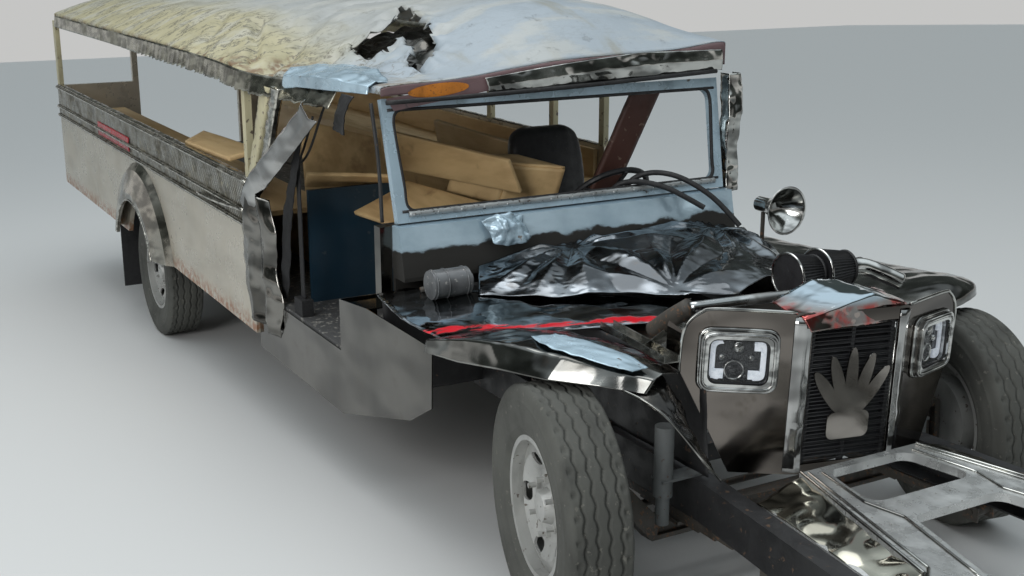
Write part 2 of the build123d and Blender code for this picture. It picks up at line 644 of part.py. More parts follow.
# Door sills and the cowl's side panels, which close the body between door and fender.
SILL_LINE = [(B_POST_X, 215), (-1450, 215), (-1450, SILL_Z - 0.3), (B_POST_X, SILL_Z - 0.3)]
CHEEK_LINE = [(-1450, 215), (-830, 392), (-660, 490), (-650, 700), (-1190, 700), (-1450, 672)]
PILLAR_X = (-1345.0, -1292.0)
PILLAR_Y = (COWL_HALF + 2, COWL_HALF + 48)
with BuildPart(BODY) as lower_sides:
    for turn in (1, -1):
        outer = turn * (SIDE_Y - 20)
        with BuildSketch(side(outer)) as outline:
            Polygon(*SILL_LINE, align=None)
            Polygon(*CHEEK_LINE, align=None)
        extrude(outline.sketch, amount=-turn * SHEET)
        rear = tuple(sorted((outer, turn * PILLAR_Y[0])))
        block((-1450, -1446), rear, (FLOOR_Z, 672))
        block((-1450, PILLAR_X[1]), rear, (660, 664))
    block(PILLAR_X, (-PILLAR_Y[1], -PILLAR_Y[0]), (660, COWL_TOP - 5))
save(lower_sides, "lower_sides")

# Hood: a buckled sheet shortened against the cowl, standing over the engine.
FENDER_Z = AXLE_H + TYRE_R + 10
HOOD_ROWS = (
    (-1186, ((-455, 50), (-200, 85), (60, 102), (300, 96), (560, 104), (738, 50))),
    (-1040, ((-540, 60), (-330, 112), (20, 122), (330, 90), (500, 138), (735, 50))),
    (-900, ((-580, 20), (-300, 60), (60, 92), (280, 122), (470, 135), (690, 52))),
    (-560, ((-330, 26), (-160, 34), (-10, 74), (160, 52), (290, 112), (560, 45))),
)
HOOD_T = 3.0


def raised(rows):
    """Rows whose heights are counted from the fender's plate."""
    return [(x, [(y, FENDER_Z + z) for y, z in line]) for x, line in rows]


with BuildPart(BODY) as hood:
    sheet(raised(HOOD_ROWS), HOOD_T)
save(hood, "hood")

# Fenders: the right one is torn flat with a crumpled lip, the left one keeps its form.
RIGHT_TOP = [(-1180, -760), (-1150, -890), (-850, -935), (-540, -905), (-470, -526), (-380, -174), (-560, 60)]
RIGHT_LIP_ROWS = (
    (-600, ((-968, -30), (-965, 7), (-800, 12), (-640, 7))),
    (-250, ((-905, 15), (-880, 65), (-690, 50), (-440, 7))),
    (-20, ((-830, 25), (-800, 80), (-640, 55), (-475, 25))),
    (60, ((-640, -5), (-620, 45), (-570, 50), (-475, 30))),
)


with BuildPart(BODY) as fender_right:
    with BuildSketch(level(FENDER_Z)):
        Polygon(*RIGHT_TOP, align=None)
    extrude(amount=HOOD_T)
    sheet(raised(RIGHT_LIP_ROWS), HOOD_T)
save(fender_right, "fender_right")

LEFT_ROWS = (
    (-1180, ((768, 10), (800, 15), (890, 12), (925, 2))),
    (-500, ((545, 20), (800, 40), (950, 30), (970, -20))),
    (-100, ((430, 40), (760, 85), (930, 60), (950, 20))),
    (40, ((400, 35), (520, 50), (640, 40), (670, 15))),
)
with BuildPart(BODY) as fender_left:
    sheet(raised(LEFT_ROWS), HOOD_T)
save(fender_left, "fender_left")

# Nose: V-shaped stainless shell with lamp openings, folded cap and a louvred centre.
PLAN_LINE = [(0, PANEL_HALF), (NOSE_DEPTH - 15, RIDGE_HALF), (NOSE_DEPTH, MESH_HALF)]
SIDE_RETURN = 90.0
CAP_T = 8.0
CAP_H = 38.0
with BuildPart(NOSE) as grille_shell:
    with BuildSketch(level(NOSE_LOW, NOSE)):
        outer_line = [(-SIDE_RETURN, PANEL_HALF)] + PLAN_LINE
        inner_line = [(x - SHEET, y - SHEET * 0.4) for x, y in PLAN_LINE[::-1]]
        for turn in (1, -1):
            line = outer_line + inner_line + [(-SIDE_RETURN, PANEL_HALF - SHEET)]
            Polygon(*[(x, turn * y) for x, y in line], align=None)
    extrude(amount=NOSE_TOP - NOSE_LOW)
    block((NOSE_DEPTH - CAP_T, NOSE_DEPTH), (-MESH_HALF, MESH_HALF), (NOSE_TOP - CAP_H, NOSE_TOP))
    block((NOSE_DEPTH - CAP_T, NOSE_DEPTH), (-MESH_HALF, MESH_HALF), (NOSE_LOW, NOSE_LOW + 30))
    with BuildSketch(station(-SIDE_RETURN - 5, NOSE)) as corners:
        for turn in (1, -1):
            Polygon(
                (turn * 700, NOSE_LOW - 5), (turn * 345, NOSE_LOW - 5), (turn * (PANEL_HALF + 1), LAMP_Z - 40),
                (turn * 700, LAMP_Z - 40), align=None,
            )
            with BuildLine():
                arc_mid = (turn * (PANEL_HALF - 26), NOSE_TOP - 26)
                ThreePointArc((turn * (PANEL_HALF - 90), NOSE_TOP + 1), arc_mid, (turn * (PANEL_HALF + 1), NOSE_TOP - 90))
                Line((turn * (PANEL_HALF + 1), NOSE_TOP - 90), (turn * (PANEL_HALF + 1), NOSE_TOP + 1))
                Line((turn * (PANEL_HALF + 1), NOSE_TOP + 1), (turn * (PANEL_HALF - 90), NOSE_TOP + 1))
            make_face()
    extrude(amount=NOSE_DEPTH + SIDE_RETURN + 10, mode=Mode.SUBTRACT)
    with BuildSketch(station(-SIDE_RETURN - 5, NOSE)):
        with Locations((LAMP_Y, LAMP_Z), (-LAMP_Y, LAMP_Z)):
            RectangleRounded(LAMP_W - 36, LAMP_H - 36, 30)
    extrude(amount=NOSE_DEPTH + SIDE_RETURN + 10, mode=Mode.SUBTRACT)
save(grille_shell, "grille_shell")

# Louvres behind the nose's opening, with a stile at each end and one in the middle.
SLATS = 19
SLAT_PITCH = 22.0
SLAT_T = 4.0
SLAT_D = 18.0
MESH_Z = (NOSE_LOW + 32, NOSE_TOP - CAP_H - 2)
MESH_BACK = NOSE_DEPTH - CAP_T - 0.3
with BuildPart(NOSE) as grille_louvres:
    for n in range(SLATS):
        z = MESH_Z[0] + 12 + n * SLAT_PITCH
        with BuildSketch(side(-MESH_HALF + 5, NOSE)) as slat:
            Polygon(
                (MESH_BACK, z), (MESH_BACK, z + SLAT_T), (MESH_BACK - SLAT_D, z + 12 + SLAT_T),
                (MESH_BACK - SLAT_D, z + 12), align=None,
            )
        extrude(slat.sketch, amount=-2 * (MESH_HALF - 5))
    for y in (-MESH_HALF + 11, 0, MESH_HALF - 11):
        block((MESH_BACK - SLAT_D, MESH_BACK), (y - 6, y + 6), (NOSE_LOW + 6, NOSE_TOP - CAP_H + 20))
save(grille_louvres, "grille_louvres")

# Ornament on the louvres: a plain fan of five leaves on a curved foot.
LEAVES = 5
LEAF_L = 200.0
LEAF_SPREAD = 19.0
FAN_FOOT = (0, 585)
with BuildPart(NOSE) as grille_ornament:
    with BuildSketch(station(NOSE_DEPTH + 0.3, NOSE)):
        for n in range(LEAVES):
            lean = (n - (LEAVES - 1) / 2) * LEAF_SPREAD
            long = LEAF_L - 9 * abs(n - (LEAVES - 1) / 2)
            middle = (
                FAN_FOOT[0] - math.sin(math.radians(lean)) * long * 0.68,
                FAN_FOOT[1] + math.cos(math.radians(lean)) * long * 0.68,
            )
            with Locations(Location((*middle, 0), (0, 0, lean + 90))):
                Ellipse(long / 2, 21)
        with Locations((FAN_FOOT[0], FAN_FOOT[1] - 4)):
            RectangleRounded(150, 84, 24)
    extrude(amount=5)
    block((MESH_BACK + 0.3, NOSE_DEPTH + 0.3), (-6, 6), (FAN_FOOT[1] - 40, FAN_FOOT[1] - 10))
save(grille_ornament, "grille_ornament")

# Headlamps: a chrome bezel seated on each nose panel and a rectangular lamp inside it.
BEZEL_D = 24.0
LENS_W = 176.0
LENS_H = 134.0
PANEL_TURN = math.degrees(math.atan2(NOSE_DEPTH - 15, PANEL_HALF - RIDGE_HALF))
LAMP_OUT = (NOSE_DEPTH - 15) * (PANEL_HALF - LAMP_Y) / (PANEL_HALF - RIDGE_HALF)


def lamp_plane(turn, out):
    """The plane of one headlamp, square to its nose panel and set out from it."""
    normal = NOSE.x_dir.rotate(Axis((0, 0, 0), NOSE.z_dir), turn * PANEL_TURN)
    origin = spot(LAMP_OUT, turn * LAMP_Y, LAMP_Z, NOSE) + normal * out
    return Plane(origin=origin, x_dir=NOSE.z_dir.cross(normal), z_dir=normal)


with BuildPart() as headlamp_bezels:
    for turn in (1, -1):
        with BuildSketch(lamp_plane(turn, 0.3)) as bezel:
            RectangleRounded(LAMP_W, LAMP_H, 34)
            RectangleRounded(LENS_W + 1, LENS_H + 1, 26, mode=Mode.SUBTRACT)
        extrude(bezel.sketch, amount=BEZEL_D)
save(headlamp_bezels, "headlamp_bezels")

with BuildPart() as headlamps:
    for turn in (1, -1):
        with BuildSketch(lamp_plane(turn, -40)) as lens:
            RectangleRounded(LENS_W, LENS_H, 25)
        extrude(lens.sketch, amount=54)
save(headlamps, "headlamps")

# Radiator behind the louvres, on the front cross member of the chassis.
with BuildPart(BODY) as radiator:
    block((80, 150), (-230, 230), (RAIL_TOP + 0.3, 860))
    block((90, 140), (-260, 260), (860, 890))
save(radiator, "radiator")

# Front bumper: a stainless deck with two openings, sloped side plates and a front skirt.
DECK_LINE = [(354, 232), (970, 385), (1080, 520), (1130, 640), (1190, 640)]
DECK_HOLES = (((384, 610), (155, 200)), ((722, 1085), (165, 265)))
DECK_R = 45.0
PLATE_T = 4.0
SKIRT_H = 130.0
PLATE_LOW = RAIL_TOP + PLATE_T + 1
PLATE_HIGH = DECK_Z - DECK_T + PLATE_T
PLATE_ROWS = ((362, 226, 388), (880, 355, 444))


with BuildPart(BODY) as front_bumper:
    with BuildSketch(level(DECK_Z - DECK_T)):
        Polygon(*DECK_LINE, *[(x, -y) for x, y in reversed(DECK_LINE)], align=None)
        for (rear, front), (half_rear, half_front) in DECK_HOLES:
            with BuildSketch(mode=Mode.PRIVATE) as hole:
                Polygon(
                    (rear, -half_rear), (front, -half_front), (front, half_front), (rear, half_rear),
                    align=None,
                )
                fillet(hole.vertices(), DECK_R)
            add(hole.sketch, mode=Mode.SUBTRACT)
    extrude(amount=DECK_T)
    block((1190 - PLATE_T, 1190), (-640, 640), (DECK_Z - SKIRT_H, DECK_Z - DECK_T))
    for turn in (1, -1):
        sheet([(x, ((turn * high, PLATE_HIGH), (turn * low, PLATE_LOW))) for x, high, low in PLATE_ROWS], PLATE_T)
save(front_bumper, "front_bumper")

# Intake: two pleated cone filters on one chrome pipe behind the nose.
FILTER_X = -170.0
FILTER_Z = 915.0
FILTER_R = (74.0, 52.0)
PIPE_R = 27.0
with BuildPart(BODY) as air_filters:
    for start, end in ((150, 262), (276, 400)):
        with BuildSketch(side(start)) as wide:
            with Locations((FILTER_X, FILTER_Z)):
                Circle(FILTER_R[0])
        with BuildSketch(side(end)) as narrow:
            with Locations((FILTER_X, FILTER_Z)):
                Circle(FILTER_R[1])
        loft([wide.sketch, narrow.sketch])
    rod((FILTER_X, 262, FILTER_Z), (FILTER_X, 276, FILTER_Z), FILTER_R[1])
    rod((FILTER_X, 400, FILTER_Z), (FILTER_X, 470, FILTER_Z), PIPE_R)
    rod((FILTER_X, 460, FILTER_Z), (FILTER_X + 70, 590, FILTER_Z - 60), PIPE_R)
save(air_filters, "air_filters")

# Grey canister that lies on the torn fender beside the cowl.
CAN_R = 52.0
CAN_X = -1010.0
CAN_Z = FENDER_Z + 4 + CAN_R
with BuildPart(BODY) as air_canister:
    rod((CAN_X, -745, CAN_Z), (CAN_X, -600, CAN_Z), CAN_R)
    rod((CAN_X, -600, CAN_Z), (CAN_X, -585, CAN_Z), 30)
save(air_canister, "air_canister")

# Chrome horn on its bracket beside the left end of the cowl.
HORN = (-1010, 800, 930)
HORN_R = 96.0
with BuildPart(BODY) as chrome_horn:
    with BuildSketch(station(HORN[0])) as bowl:
        with Locations(HORN[1:]):
            Circle(45)
    with BuildSketch(station(HORN[0] + 80)) as mouth:
        with Locations(HORN[1:]):
            Circle(HORN_R)
    loft([bowl.sketch, mouth.sketch])
    rod((HORN[0], HORN[1], HORN[2]), (HORN[0] - 90, HORN[1], HORN[2]), 30)
    rod((HORN[0] - 60, HORN[1], HORN[2]), (HORN[0] - 60, HORN[1], FENDER_Z + 20), 9)
save(chrome_horn, "chrome_horn")

# Cab: dashboard, steering column and wheel, driver's seat and the board behind the passenger.
DASH_Z = (800.0, 960.0)
COLUMN_FOOT = (-1315, 385, 625)
COLUMN_TOP = (-1590, 385, 905)
COLUMN_R = 19.0
WHEEL_R = 195.0
WHEEL_GRIP = 13.0
with BuildPart(BODY) as dashboard:
    with BuildSketch(side(-COWL_HALF + 15)):
        Polygon(
            (FIREWALL_X - 0.3, DASH_Z[0]), (FIREWALL_X - 0.3, DASH_Z[1]), (FIREWALL_X - 130, DASH_Z[1] - 10),
            (FIREWALL_X - 150, DASH_Z[0] + 40), (FIREWALL_X - 60, DASH_Z[0]), align=None,
        )
    extrude(amount=-2 * (COWL_HALF - 15))
save(dashboard, "dashboard")

with BuildPart(BODY) as steering_column:
    rod(COLUMN_FOOT, COLUMN_TOP, COLUMN_R)
save(steering_column, "steering_column")

axis = spot(*COLUMN_TOP) - spot(*COLUMN_FOOT)
axis = axis.normalized()
WHEEL_PLANE = Plane(origin=spot(*COLUMN_TOP) + axis * 0.6, x_dir=BODY.y_dir, z_dir=axis)
with BuildPart(WHEEL_PLANE) as steering_wheel:
    with BuildSketch(WHEEL_PLANE) as hub_disc:
        Circle(30)
        with PolarLocations(0, 3, start_angle=30):
            Rectangle(WHEEL_R * 2 - 10, 16, align=(Align.CENTER, Align.CENTER))
        Circle(WHEEL_R - 6, mode=Mode.INTERSECT)
    extrude(hub_disc.sketch, amount=10)
    with BuildSketch(Plane(origin=WHEEL_PLANE.origin, x_dir=WHEEL_PLANE.x_dir, z_dir=-WHEEL_PLANE.y_dir)) as grip:
        with Locations((WHEEL_R - WHEEL_GRIP, 5 + WHEEL_GRIP)):
            RegularPolygon(WHEEL_GRIP, 8)
    revolve(grip.sketch, axis=Axis(WHEEL_PLANE.origin, WHEEL_PLANE.z_dir))
save(steering_wheel, "steering_wheel")

SEAT_Y = (190.0, 600.0)
with BuildPart(BODY) as driver_seat:
    with BuildSketch(side(SEAT_Y[0])):
        Polygon(
            (-2180, FLOOR_Z), (-1760, FLOOR_Z), (-1740, 700), (-1760, 740), (-2070, 720), (-2130, 1130),
            (-2190, 1150), (-2230, 1120), align=None,
        )
    extrude(amount=-(SEAT_Y[1] - SEAT_Y[0]))
    fillet(driver_seat.edges().filter_by(Axis.Y), 18)
save(driver_seat, "driver_seat")

BOARD_X = -2100.0
BOARD_Y = (-780.0, -400.0)
with BuildPart(BODY) as cab_board:
    block((BOARD_X - 20, BOARD_X), BOARD_Y, (FLOOR_Z, 965))
save(cab_board, "cab_board")

# Benches along both sides: a seat board on a front board, with a backrest board at the wall.
BENCH_Z = 790.0
BENCH_IN = 520.0
BOARD_T = 22.0
BENCH_X = (-6500.0, -2480.0)
with BuildPart(BODY) as benches:
    block(BENCH_X, (BENCH_IN, INSIDE - 1), (BENCH_Z, BENCH_Z + BOARD_T))
    block(BENCH_X, (BENCH_IN, BENCH_IN + BOARD_T), (FLOOR_Z, BENCH_Z))
    block(BENCH_X, (INSIDE - 1 - BOARD_T, INSIDE - 1), (BENCH_Z + BOARD_T, BELT_Z - 20))
    mirror(about=Plane.XZ)
save(benches, "benches")

# Loose boards that slid forward into the cab, and a leaning plank behind the windshield.
with BuildPart(BODY) as loose_boards:
    block((-2150, -1900), (-330, -60), (FLOOR_Z, 760))
save(loose_boards, "loose_boards")

# Left front post, crumpled, from the cowl up to the roof.
LEFT_POST_ROWS = ((958, -1300, 800, 26), (1120, -1330, 812, 20), (1260, -1300, 800, 27), (1440, -1345, 830, 22))
with BuildPart(BODY) as a_post_left:
    folds = []
    for z, x, y, half in LEFT_POST_ROWS:
        with BuildSketch(level(z)) as fold:
            with Locations((x, y)):
                Rectangle(2 * half, 2 * half)
        folds.append(fold.sketch)
    loft(folds, ruled=True)
save(a_post_left, "a_post_left")

# Right door post: the torn stainless skin leans forward and its lower end hangs crumpled.
STRIP_ROWS = (
    (350, -2440, -945, 26), (560, -2330, -950, 60), (750, -2400, -946.6, 52), (960, -2390, -946.6, 40),
    (1110, -2060, -950, 36), (1290, -1720, -942, 30), (1395, -1530, -930, 26),
)
with BuildPart(BODY) as torn_post_skin:
    folds = []
    for z, x, y, half in STRIP_ROWS:
        with BuildSketch(level(z)) as fold:
            Polygon(
                (x - half, y), (x, y - 22), (x + half, y), (x + half, y + 3), (x, y - 19), (x - half, y + 3),
                align=None,
            )
        folds.append(fold.sketch)
    loft(folds, ruled=True)
save(torn_post_skin, "torn_post_skin")

# Seat belt: the strap's hanging webbing and its reel on the sill.
with BuildPart(BODY) as seat_belt:
    block((-1990, -1900), (-900, -850), (FLOOR_Z + 0.3, FLOOR_Z + 70))
    block((-1966, -1924), (-878, -874), (FLOOR_Z + 70, 1290))
save(seat_belt, "seat_belt")

# Tail lamps on the rear panels.
with BuildPart(BODY) as tail_lamps:
    block((BODY_REAR - 22, BODY_REAR - 0.3), (680, 840), (640, 730))
    mirror(about=Plane.XZ)
save(tail_lamps, "tail_lamps")

# Two hoses that come out over the dashboard and lie down across the hood.
HOSE_R = 11.0
HOSE_ROUTES = {
    "hose_upper": [
        (-1350, 300, 962), (-1345, 300, 1000), (-1320, 330, 1048), (-1270, 390, 1072), (-1200, 460, 1060),
        (-1130, 530, 1010), (-1080, 590, 950), (-1030, 630, 890),
    ],
    "hose_lower": [
        (-1350, 230, 962), (-1345, 232, 992), (-1320, 260, 1030), (-1270, 320, 1040), (-1200, 400, 1020),
        (-1140, 470, 975), (-1100, 520, 940),
    ],
}


def corner_radii(points):
    """For each corner the largest radius that its two runs allow, less a tenth."""
    radii = []
    for before, here, after in zip(points, points[1:], points[2:]):
        turn = math.radians((here - before).get_angle(after - here))
        short = min((here - before).length, (after - here).length)
        radii.append(0.45 * short / math.tan(turn / 2))
    return radii


for name, route in HOSE_ROUTES.items():
    points = [spot(*p) for p in route]
    radii = corner_radii(points)
    with BuildPart() as hose:
        with BuildLine() as run:
            FilletPolyline(*points, radius=radii)
        with BuildSketch(Plane(origin=run.line @ 0, z_dir=run.line % 0)):
            Circle(HOSE_R)
        sweep(path=run.line)
    save(hose, name)
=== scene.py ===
import json
import math

import bpy
from mathutils import Matrix, Vector, noise
from mathutils.geometry import delaunay_2d_cdt


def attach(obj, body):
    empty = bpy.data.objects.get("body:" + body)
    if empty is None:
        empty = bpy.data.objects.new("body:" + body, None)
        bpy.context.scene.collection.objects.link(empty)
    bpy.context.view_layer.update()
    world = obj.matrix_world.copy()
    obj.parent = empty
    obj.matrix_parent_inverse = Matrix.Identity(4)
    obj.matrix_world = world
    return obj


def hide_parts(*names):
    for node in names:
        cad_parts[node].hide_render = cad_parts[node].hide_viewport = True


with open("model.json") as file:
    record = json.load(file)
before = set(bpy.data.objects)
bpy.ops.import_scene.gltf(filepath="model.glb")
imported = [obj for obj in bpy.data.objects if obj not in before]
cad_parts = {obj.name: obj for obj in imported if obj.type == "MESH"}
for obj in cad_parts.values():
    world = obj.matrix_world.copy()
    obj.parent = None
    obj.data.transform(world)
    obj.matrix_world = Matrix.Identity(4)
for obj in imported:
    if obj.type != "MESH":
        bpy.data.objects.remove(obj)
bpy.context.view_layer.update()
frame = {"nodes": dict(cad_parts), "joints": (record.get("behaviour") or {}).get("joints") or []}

scene = bpy.context.scene
scene.view_settings.view_transform = "Standard"

# Camera, off the right front corner at eye height, looking back along the right side.
# The picture is 36 mm wide through a 45 mm lens, and yaw is counted from straight ahead.
FRONT_AXLE = 2.822
LENS, PICTURE_WIDE, FAR_LIMIT = 45.43, 36, 200
EYE = Vector((FRONT_AXLE + 3.068, -2.637, 1.809))
YAW, PITCH, ROLL = math.radians(151.13), math.radians(12.23), math.radians(-1.75)


def placed(at, right, up, out):
    """The frame at a point whose three axes are the directions given."""
    return Matrix.Translation(at) @ Matrix((right, up, out)).transposed().to_4x4()


look = Vector((math.cos(YAW) * math.cos(PITCH), math.sin(YAW) * math.cos(PITCH), -math.sin(PITCH)))
level_right = Vector((math.sin(YAW), -math.cos(YAW), 0))
level_down = look.cross(level_right)
picture_right = level_right * math.cos(ROLL) - level_down * math.sin(ROLL)
picture_down = level_right * math.sin(ROLL) + level_down * math.cos(ROLL)
camera = bpy.data.objects.new("camera", bpy.data.cameras.new("camera"))
scene.collection.objects.link(camera)
camera.data.lens = LENS
camera.data.sensor_width = PICTURE_WIDE
camera.data.clip_end = FAR_LIMIT
camera.matrix_world = placed(EYE, picture_right, -picture_down, -look)
scene.camera = camera


# Stage: a plain pale floor under a soft overhead light, with one large side light on the right.
# The world is pale at the horizon and overhead and dark between, which the mirror sheets show.
def finish(name, colour, metallic, roughness):
    """A new material: its node tree and its one shader, with the plain values set."""
    material = bpy.data.materials.new(name)
    material.use_nodes = True
    shader = material.node_tree.nodes["Principled BSDF"]
    shader.inputs["Base Color"].default_value = (*colour, 1)
    shader.inputs["Metallic"].default_value = metallic
    shader.inputs["Roughness"].default_value = roughness
    return material, material.node_tree, shader


def node(tree, kind, inputs=None, **settings):
    """Add a node, set its properties, and give its sockets values or links."""
    made = tree.nodes.new("ShaderNode" + kind)
    for key, value in settings.items():
        setattr(made, key, value)
    for key, value in (inputs or {}).items():
        if isinstance(value, bpy.types.NodeSocket):
            tree.links.new(value, made.inputs[key])
        else:
            made.inputs[key].default_value = value
    return made


def soft_light(name, place, target, size, watts):
    """One square area light that faces a point."""
    lamp = bpy.data.objects.new(name, bpy.data.lights.new(name, "AREA"))
    lamp.data.size = size
    lamp.data.energy = watts
    lamp.location = place
    lamp.rotation_euler = (Vector(target) - Vector(place)).to_track_quat("-Z", "Y").to_euler()
    scene.collection.objects.link(lamp)


FLOOR_HALF = 60
HORIZON, DARK_BAND, SKY = (0.62, 0.62, 0.61), (0.07, 0.08, 0.075), (0.86, 0.95, 1.0)
BANDS = ((0.10, HORIZON), (0.17, DARK_BAND), (0.45, DARK_BAND), (0.70, SKY))
WORLD_LIGHT = 0.9
floor_corners = [(x * FLOOR_HALF, y * FLOOR_HALF, 0) for x, y in ((-1, -1), (1, -1), (1, 1), (-1, 1))]
floor_mesh = bpy.data.meshes.new("studio_floor")
floor_mesh.from_pydata(floor_corners, [], [(0, 1, 2, 3)])
studio_floor = bpy.data.objects.new("studio_floor", floor_mesh)
scene.collection.objects.link(studio_floor)
floor_finish, tree, shader = finish("studio_floor", HORIZON, metallic=0.0, roughness=0.85)
floor_mesh.materials.append(floor_finish)
soft_light("overhead", place=(0.5, -1.0, 7.5), target=(-0.5, 0, 0.5), size=6.0, watts=230)
soft_light("right_side", place=(5.5, -7.0, 4.0), target=(0.5, -0.5, 0.8), size=3.5, watts=260)
world = bpy.data.worlds.new("studio")
scene.world = world
world.use_nodes = True
tree = world.node_tree
up = node(tree, "SeparateXYZ", {"Vector": node(tree, "TexCoord").outputs["Generated"]}).outputs["Z"]
ramp = node(tree, "ValToRGB", {"Fac": up})
ramp.color_ramp.elements[0].color = (*HORIZON, 1)
ramp.color_ramp.elements[1].color = (*SKY, 1)
for at, shade in BANDS:
    stop = ramp.color_ramp.elements.new(at)
    stop.color = (*shade, 1)
tree.links.new(ramp.outputs[0], tree.nodes["Background"].inputs["Color"])
tree.nodes["Background"].inputs["Strength"].default_value = WORLD_LIGHT

# Roof: one painted skin over hidden bows, crowned along its length.
# The crash pushed its right front corner in, folded it in slanting waves and tore it open.
# Its paint is yellow along the right edge, grey-white on the crown and bluish at the front.
RAKE = math.radians(3.4)
BODY = Matrix.Translation((FRONT_AXLE, 0, 0)) @ Matrix.Rotation(RAKE, 4, "Y")
# Each row: x, half width and edge height at the right, three heights of the arch between, edge
# height and half width at the left.
ROOF_ROWS = (
    (-6.69, 0.88, 1.450, 1.510, 1.530, 1.510, 1.450, 0.88),
    (-6.45, 0.95, 1.465, 1.580, 1.615, 1.580, 1.465, 0.95),
    (-5.20, 0.95, 1.465, 1.605, 1.660, 1.615, 1.465, 0.95),
    (-3.60, 0.95, 1.465, 1.625, 1.690, 1.650, 1.470, 0.95),
    (-2.80, 0.95, 1.460, 1.590, 1.700, 1.670, 1.480, 0.95),
    (-2.30, 0.94, 1.442, 1.515, 1.715, 1.700, 1.500, 0.95),
    (-1.90, 0.87, 1.442, 1.500, 1.710, 1.690, 1.530, 0.91),
    (-1.60, 0.82, 1.443, 1.490, 1.655, 1.640, 1.550, 0.85),
    (-1.34, 0.77, 1.442, 1.478, 1.530, 1.548, 1.545, 0.78),
)
HOLE = [(-2.25, -0.52), (-2.26, -0.43), (-2.25, -0.35), (-2.42, -0.21), (-2.34, -0.19), (-2.20, -0.24),
        (-2.02, -0.27), (-1.84, -0.32), (-1.62, -0.43), (-1.57, -0.54), (-1.68, -0.53), (-1.78, -0.44),
        (-2.02, -0.38), (-1.96, -0.50), (-1.97, -0.57), (-2.06, -0.58)]
# Each tear: its line, its reach to each side and how deep it is pressed.
TEARS = (
    ([(-3.54, -0.66), (-3.40, -0.71), (-3.25, -0.82)], 0.035, 0.030),
    ([(-3.12, -0.60), (-2.95, -0.68), (-2.70, -0.76), (-2.49, -0.86)], 0.035, 0.050),
    ([(-3.00, -0.62), (-2.80, -0.72), (-2.55, -0.80)], 0.030, -0.030),
    ([(-2.90, -0.56), (-2.86, -0.45), (-2.92, -0.34), (-2.98, -0.20), (-2.86, -0.05)], 0.045, 0.035),
    ([(-2.62, -0.56), (-2.45, -0.70), (-2.33, -0.86)], 0.040, 0.035),
)


def place_mesh(name, points, faces, material, slot, body="chassis", place=BODY, thick=0.0, smooth=True):
    """A new piece that rides on one body; BODY's x runs from the front axle and leans with the rake."""
    mesh = bpy.data.meshes.new(name)
    mesh.from_pydata([place @ Vector(p) for p in points], [], faces)
    mesh.validate()
    mesh.update()
    mesh.materials.append(material)
    mesh.polygons.foreach_set("use_smooth", [smooth] * len(mesh.polygons))
    made = bpy.data.objects.new(name, mesh)
    scene.collection.objects.link(made)
    if thick:
        skin = made.modifiers.new("sheet_thickness", "SOLIDIFY")
        skin.thickness = thick
        skin.offset = 0
    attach(made, body)
    return made


def net(columns, rows, point, keep=None):
    """Points and faces of a sheet: point(u, v) with u and v from 0 to 1; keep says which cells stay."""
    points = [point(i / columns, j / rows) for i in range(columns + 1) for j in range(rows + 1)]
    faces = []
    for i in range(columns):
        for j in range(rows):
            corner = i * (rows + 1) + j
            if keep is None or keep(*points[corner][:2]):
                faces.append((corner, corner + 1, corner + rows + 2, corner + rows + 1))
    return points, faces


def through(stops, at):
    """A smooth line through stops, each a position and its values."""
    stops = list(stops)
    at = min(max(at, stops[0][0]), stops[-1][0])
    k = max(i for i in range(len(stops) - 1) if stops[i][0] <= at or i == 0)
    before, here, there, after = (stops[min(max(i, 0), len(stops) - 1)] for i in range(k - 1, k + 3))
    run = there[0] - here[0]
    t = (at - here[0]) / run
    values = []
    for b, h, n, a in zip(before[1:], here[1:], there[1:], after[1:]):
        slope_in = (n - b) * run / max(there[0] - before[0], 1e-6)
        slope_out = (a - h) * run / max(after[0] - here[0], 1e-6)
        values.append(h * (2 * t**3 - 3 * t**2 + 1) + slope_in * (t**3 - 2 * t**2 + t)
                      + n * (3 * t**2 - 2 * t**3) + slope_out * (t**3 - t**2))
    return values


def ease(low, high, value):
    """0 at low, 1 at high, smooth between; low may be the larger."""
    t = min(max((value - low) / (high - low), 0), 1)
    return t * t * (3 - 2 * t)


def ridges(x, y, z=0.0):
    """Sharp-topped noise, from -1 to 1, like the creases of crushed sheet."""
    return 1 - 2 * abs(noise.noise((x, y, z)) * 1.6)


def inside(x, y, outline):
    """Whether a point lies in a closed outline."""
    hit = False
    for (x0, y0), (x1, y1) in zip(outline, outline[1:] + outline[:1]):
        if (y0 > y) != (y1 > y) and x < x0 + (y - y0) * (x1 - x0) / (y1 - y0):
            hit = not hit
    return hit


def gap_to(x, y, line):
    """Distance from a point to a line of points."""
    best = 9.0
    for (x0, y0), (x1, y1) in zip(line, line[1:]):
        dx, dy = x1 - x0, y1 - y0
        t = min(max(((x - x0) * dx + (y - y0) * dy) / (dx * dx + dy * dy), 0), 1)
        best = min(best, math.hypot(x - x0 - t * dx, y - y0 - t * dy))
    return best


WEAK_REAR, WEAK_FRONT, WEAK_RIGHT = (-3.75, -3.0), (-1.75, -2.15), (-0.22, -0.55)
WAVE, WAVE_SINK, FINE_WAVE = 0.022, 0.030, 0.008
# How often the waves come across and along the fold, for each metre.
WAVES, FINE_WAVES = (5.5, 1.5), (17, 6)
FOLD_COS, FOLD_SIN = 0.64, 0.76
TEAR_REACH, TEAR_LIP = 2.5, 0.35
RIM_CURL, RIM_REACH = 0.03, 0.12
SWELL, RIPPLE = 0.004, 0.0015


